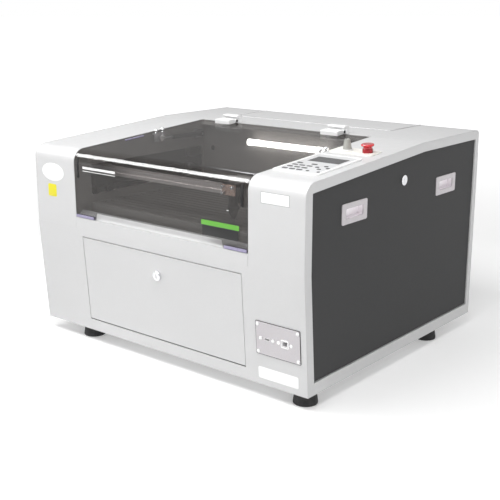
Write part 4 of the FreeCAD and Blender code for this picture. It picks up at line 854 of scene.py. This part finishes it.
# ---------------------------------------------------------------- laser head details
def head_details():
    """Mirror mount with three sprung thumb screws, a knurled lens ring and an air fitting."""
    head_low, head_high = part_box("laser_head")
    x = (head_low.x + head_high.x) / 2
    mount_down, mount_thick = 13 * MM, 2 * MM
    front = standing((x, head_low.y, head_high.z - mount_down), -REARWARD, UP)
    piece("head_bracket", "laser_head", COPPER,
          plate(38 * MM, 24 * MM, mount_thick, 2 * MM, 0.5 * MM), front)
    thumb = millimetres([(2.0, 0), (2.0, 3), (3.6, 3.2), (3.6, 7.5), (3.0, 8.2), (1.2, 8.2)])
    spots = [(-14, 7), (14, 7), (-14, -7)]
    piece("head_thumb_screws", "laser_head", MATERIALS["bright_chrome"],
          merged([(lathe(thumb, 20), front @ Matrix.Translation((a * MM, b * MM, mount_thick)))
                  for a, b in spots]))
    coil_radius, coil_wire, coils = 2.9 * MM, 0.35 * MM, (2.4, 3.3, 4.2)
    rings = [(torus(coil_radius, coil_wire, 24, 6),
              front @ Matrix.Translation((a * MM, b * MM, height * MM)))
             for a, b in spots for height in coils]
    piece("head_springs", "laser_head", MATERIALS["plain_steel"], merged(rings))
    axis_y = head_low.y + 14 * MM
    ring_rise, fitting_rise, fitting_reach = 22 * MM, 17 * MM, 10.5 * MM
    piece("lens_ring", "laser_head", MATERIALS["black_plastic"],
          knurled([(12.2, 0), (12.9, 1.5), (12.9, 7.5), (12.2, 9)]),
          Matrix.Translation((x, axis_y, head_low.z + ring_rise)))
    fitting = [(3.2, 0), (3.2, 4), (2.2, 4.4), (2.6, 6), (1.9, 7.4), (2.4, 8.8), (1.5, 10)]
    piece("air_fitting", "laser_head", MATERIALS["bright_chrome"],
          lathe(millimetres(fitting), 24),
          standing((x - fitting_reach, axis_y, head_low.z + fitting_rise), (-1, 0, 0), UP))


def knurled(profile, teeth=36):
    """A turned solid whose skin rises and falls round it; (radius, height) in millimetres."""
    crest, groove = 0.35, -0.2
    loops = []
    for radius, height in profile:
        loop = []
        for i in range(2 * teeth):
            turn = math.tau * i / (2 * teeth)
            out = (radius + (crest if i % 2 else groove)) * MM
            loop.append((out * math.cos(turn), out * math.sin(turn), height * MM))
        loops.append(loop)
    return skin(loops)


# ---------------------------------------------------------------- controls
def knob_line():
    """A pale pointer line on the knob's top, from its joint's axis."""
    pivot = Vector(JOINTS["knob_turn"]["pos_m"])
    knob_height, off_centre = 23.4 * MM, 3.2 * MM
    top = standing(pivot + TOP_OUT * knob_height, TOP_OUT, REARWARD)
    mark = printed_label("pointer_white", (0.82, 0.82, 0.80))
    piece("knob_pointer", "rotary_knob", mark,
          plate(1.6 * MM, 6 * MM, 0.5 * MM, 0.4 * MM, 0.2 * MM),
          top @ Matrix.Translation((0, off_centre, 0)))


def knob_skirt():
    """A white dial ring round the foot of the knob."""
    pivot = Vector(JOINTS["knob_turn"]["pos_m"])
    foot_depth = 1.6 * MM
    ring = millimetres([(11.0, 0), (13.9, 0), (13.9, 1.4), (13.3, 2.1), (11.0, 2.3)])
    piece("knob_skirt", "rotary_knob", MATERIALS["white_plastic"],
          turned_ring(ring), standing(pivot - TOP_OUT * foot_depth, TOP_OUT, REARWARD))


def turned_ring(profile, steps=48):
    """A ring about Z: a closed profile of (radius, height) pairs swept all the way round."""
    mesh = bmesh.new()
    rows = []
    for i in range(steps):
        turn = math.tau * i / steps
        rows.append([mesh.verts.new((r * math.cos(turn), r * math.sin(turn), z))
                     for r, z in profile])
    total = len(profile)
    for i in range(steps):
        near, far = rows[i], rows[(i + 1) % steps]
        for j in range(total):
            k = (j + 1) % total
            mesh.faces.new((near[j], near[k], far[k], far[j]))
    return mesh


def membrane():
    """The pale printed film in the well of the control bezel, round the keys and the display."""
    bezel_low, bezel_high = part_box("control_bezel")
    rim, corner, well_floor = 8 * MM, 4 * MM, 2.42 * MM
    film = printed_label("film_grey", (0.66, 0.66, 0.67))
    x = (bezel_low.x + bezel_high.x) / 2
    width = bezel_high.x - bezel_low.x - 2 * rim
    length = (bezel_high.y - bezel_low.y) / TOP_OUT.z - 2 * rim
    ahead = TOP_BREAK.y - (bezel_low.y + bezel_high.y) / 2
    piece("control_film", "cabinet", film,
          plate(width, length, LABEL_THICK, corner, LABEL_EDGE), on_top(x, ahead, well_floor))


# ---------------------------------------------------------------- hemmed edges
def bead(name, body, start, end, out, radius):
    """A rolled edge: a half-round bead along a straight fold, let a little into the sheet."""
    start, end, out = Vector(start), Vector(end), Vector(out).normalized()
    run = (end - start).normalized()
    across = run.cross(out)
    sunk, steps = 0.3 * MM, 8
    section = []
    for i in range(steps + 1):
        turn = math.pi * i / steps
        section.append(across * radius * math.cos(turn) + out * radius * math.sin(turn))
    section += [-across * radius - out * sunk, across * radius - out * sunk]
    piece(name, body, MATERIALS["cabinet_paint"],
          skin([[point + offset for offset in section] for point in (start, end)]))


def rolled_edges():
    """The hemmed edges that catch the light, round the rear cover and along the door's top."""
    cover_low, cover_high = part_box("rear_cover")
    radius, end_gap, rear_gap = 1.6 * MM, 2 * MM, 14 * MM
    near, far = cover_low.y + radius, cover_high.y - rear_gap
    bead("cover_hem_front", "cabinet", (cover_low.x + end_gap, near, cover_high.z),
         (cover_high.x - end_gap, near, cover_high.z), UP, radius)
    for side, name in ((-1, "left"), (1, "right")):
        x = side * (cover_high.x - radius)
        bead(f"cover_hem_{name}", "cabinet", (x, near, cover_high.z), (x, far, cover_high.z),
             UP, radius)
    door_low, door_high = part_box("front_door")
    door_radius, below_top = 1.0 * MM, 1.3 * MM
    edge = on_lean(0, 0).to_3x3() @ Vector((0, 1, 0))
    top = DOOR_LOCK + edge * ((door_high.z - DOOR_LOCK.z) / edge.z - below_top)
    bead("door_hem", "front_door", (door_low.x + end_gap, top.y, top.z),
         (door_high.x - end_gap, top.y, top.z), LEAN_OUT, door_radius)


lid_trim()
bracket_caps()
lid_bands()
knob_skirt()
membrane()
rolled_edges()
labels()
hinge_covers()
pin_shade_caps()
sockets_trim()
rear_screws()
foot_screws()
fan_guard()
fuse_drawer()
head_details()
knob_line()


# ---------------------------------------------------------------- stage, light and camera
def pale_floor():
    """White sweep that glows a little more the further it is from the object."""
    finish = Finish("pale_floor", (0.90, 0.90, 0.90), 0.9)
    finish.shader.inputs["Emission Color"].default_value = (1, 1, 1, 1)
    length = finish.node("VectorMath")
    length.operation = "LENGTH"
    finish.link(finish.place, length.inputs[0])
    near, far, near_glow, far_glow = 1.3, 4.0, 0.22, 0.80
    glow = finish.ramp(length.outputs["Value"], near, far, near_glow, far_glow)
    finish.link(glow, finish.shader.inputs["Emission Strength"])
    return finish.mottle(3, 0.01).material


def make_stage():
    """A wide level floor at the height of the feet."""
    mesh = bmesh.new()
    reach = 60.0
    for x, y in ((-reach, -reach), (reach, -reach), (reach, reach), (-reach, reach)):
        mesh.verts.new((x, y, 0))
    mesh.faces.new(mesh.verts)
    data = bpy.data.meshes.new("floor")
    mesh.to_mesh(data)
    mesh.free()
    floor = bpy.data.objects.new("floor", data)
    bpy.context.scene.collection.objects.link(floor)
    data.materials.append(pale_floor())


def area_light(name, place, target, size, size_y, watts, gloss_only=False):
    """A rectangular light aimed at a point; a gloss-only one shows in reflections alone."""
    data = bpy.data.lights.new(name, "AREA")
    data.shape = "RECTANGLE"
    data.size = size
    data.size_y = size_y
    data.energy = watts
    light = bpy.data.objects.new(name, data)
    light.location = place
    light.visible_diffuse = not gloss_only
    light.rotation_euler = (Vector(target) - Vector(place)).to_track_quat("-Z", "Y").to_euler()
    bpy.context.scene.collection.objects.link(light)


def studio_world():
    """White at the horizon, a grey flag just above it that keeps the lid clear, white overhead."""
    world = bpy.data.worlds.new("studio")
    bpy.context.scene.world = world
    world.use_nodes = True
    tree = world.node_tree
    direction = tree.nodes.new("ShaderNodeTexCoord").outputs["Generated"]
    split = tree.nodes.new("ShaderNodeSeparateXYZ")
    tree.links.new(direction, split.inputs[0])
    ramp = tree.nodes.new("ShaderNodeValToRGB")
    ramp.color_ramp.elements.remove(ramp.color_ramp.elements[1])
    flag, overhead = 0.42, 0.55
    stops = ((0.035, 1.0), (0.07, flag), (0.42, flag), (0.62, overhead), (1.0, overhead))
    for height, level in stops:
        stop = ramp.color_ramp.elements.new(height)
        stop.color = (level, level, level, 1)
    ramp.color_ramp.elements[0].color = (1, 1, 1, 1)
    tree.links.new(split.outputs["Z"], ramp.inputs["Fac"])
    tree.links.new(ramp.outputs["Color"], tree.nodes["Background"].inputs["Color"])


def make_light():
    """A strip that only shows as the bright line along the bend, and two soft fills."""
    centre = (cad_low + cad_high) / 2
    strip = (-1.75, -1.24, 2.03)
    area_light("strip", strip, (strip[0], centre.y, centre.z), size=3.2, size_y=0.85, watts=170,
               gloss_only=True)
    area_light("overhead", (0.0, -0.88, 1.85), centre, size=2.2, size_y=0.9, watts=33)
    area_light("side_fill", (3.0, 0.2, 1.4), centre, size=2.0, size_y=1.6, watts=1.5)
    studio_world()


def make_camera():
    """A three-quarter view from the right and a little above."""
    data = bpy.data.cameras.new("camera")
    data.sensor_width = 36
    data.lens = 66.84
    data.clip_start = 0.05
    data.clip_end = 50
    camera = bpy.data.objects.new("camera", data)
    camera.location = (1.4998, -1.8706, 0.8521)
    aim = Vector((0.0377, -0.0940, 0.2363))
    camera.rotation_euler = (aim - camera.location).to_track_quat("-Z", "Y").to_euler()
    bpy.context.scene.collection.objects.link(camera)
    bpy.context.scene.camera = camera


make_stage()
make_light()
make_camera()
bpy.context.scene.view_settings.view_transform = "Standard"
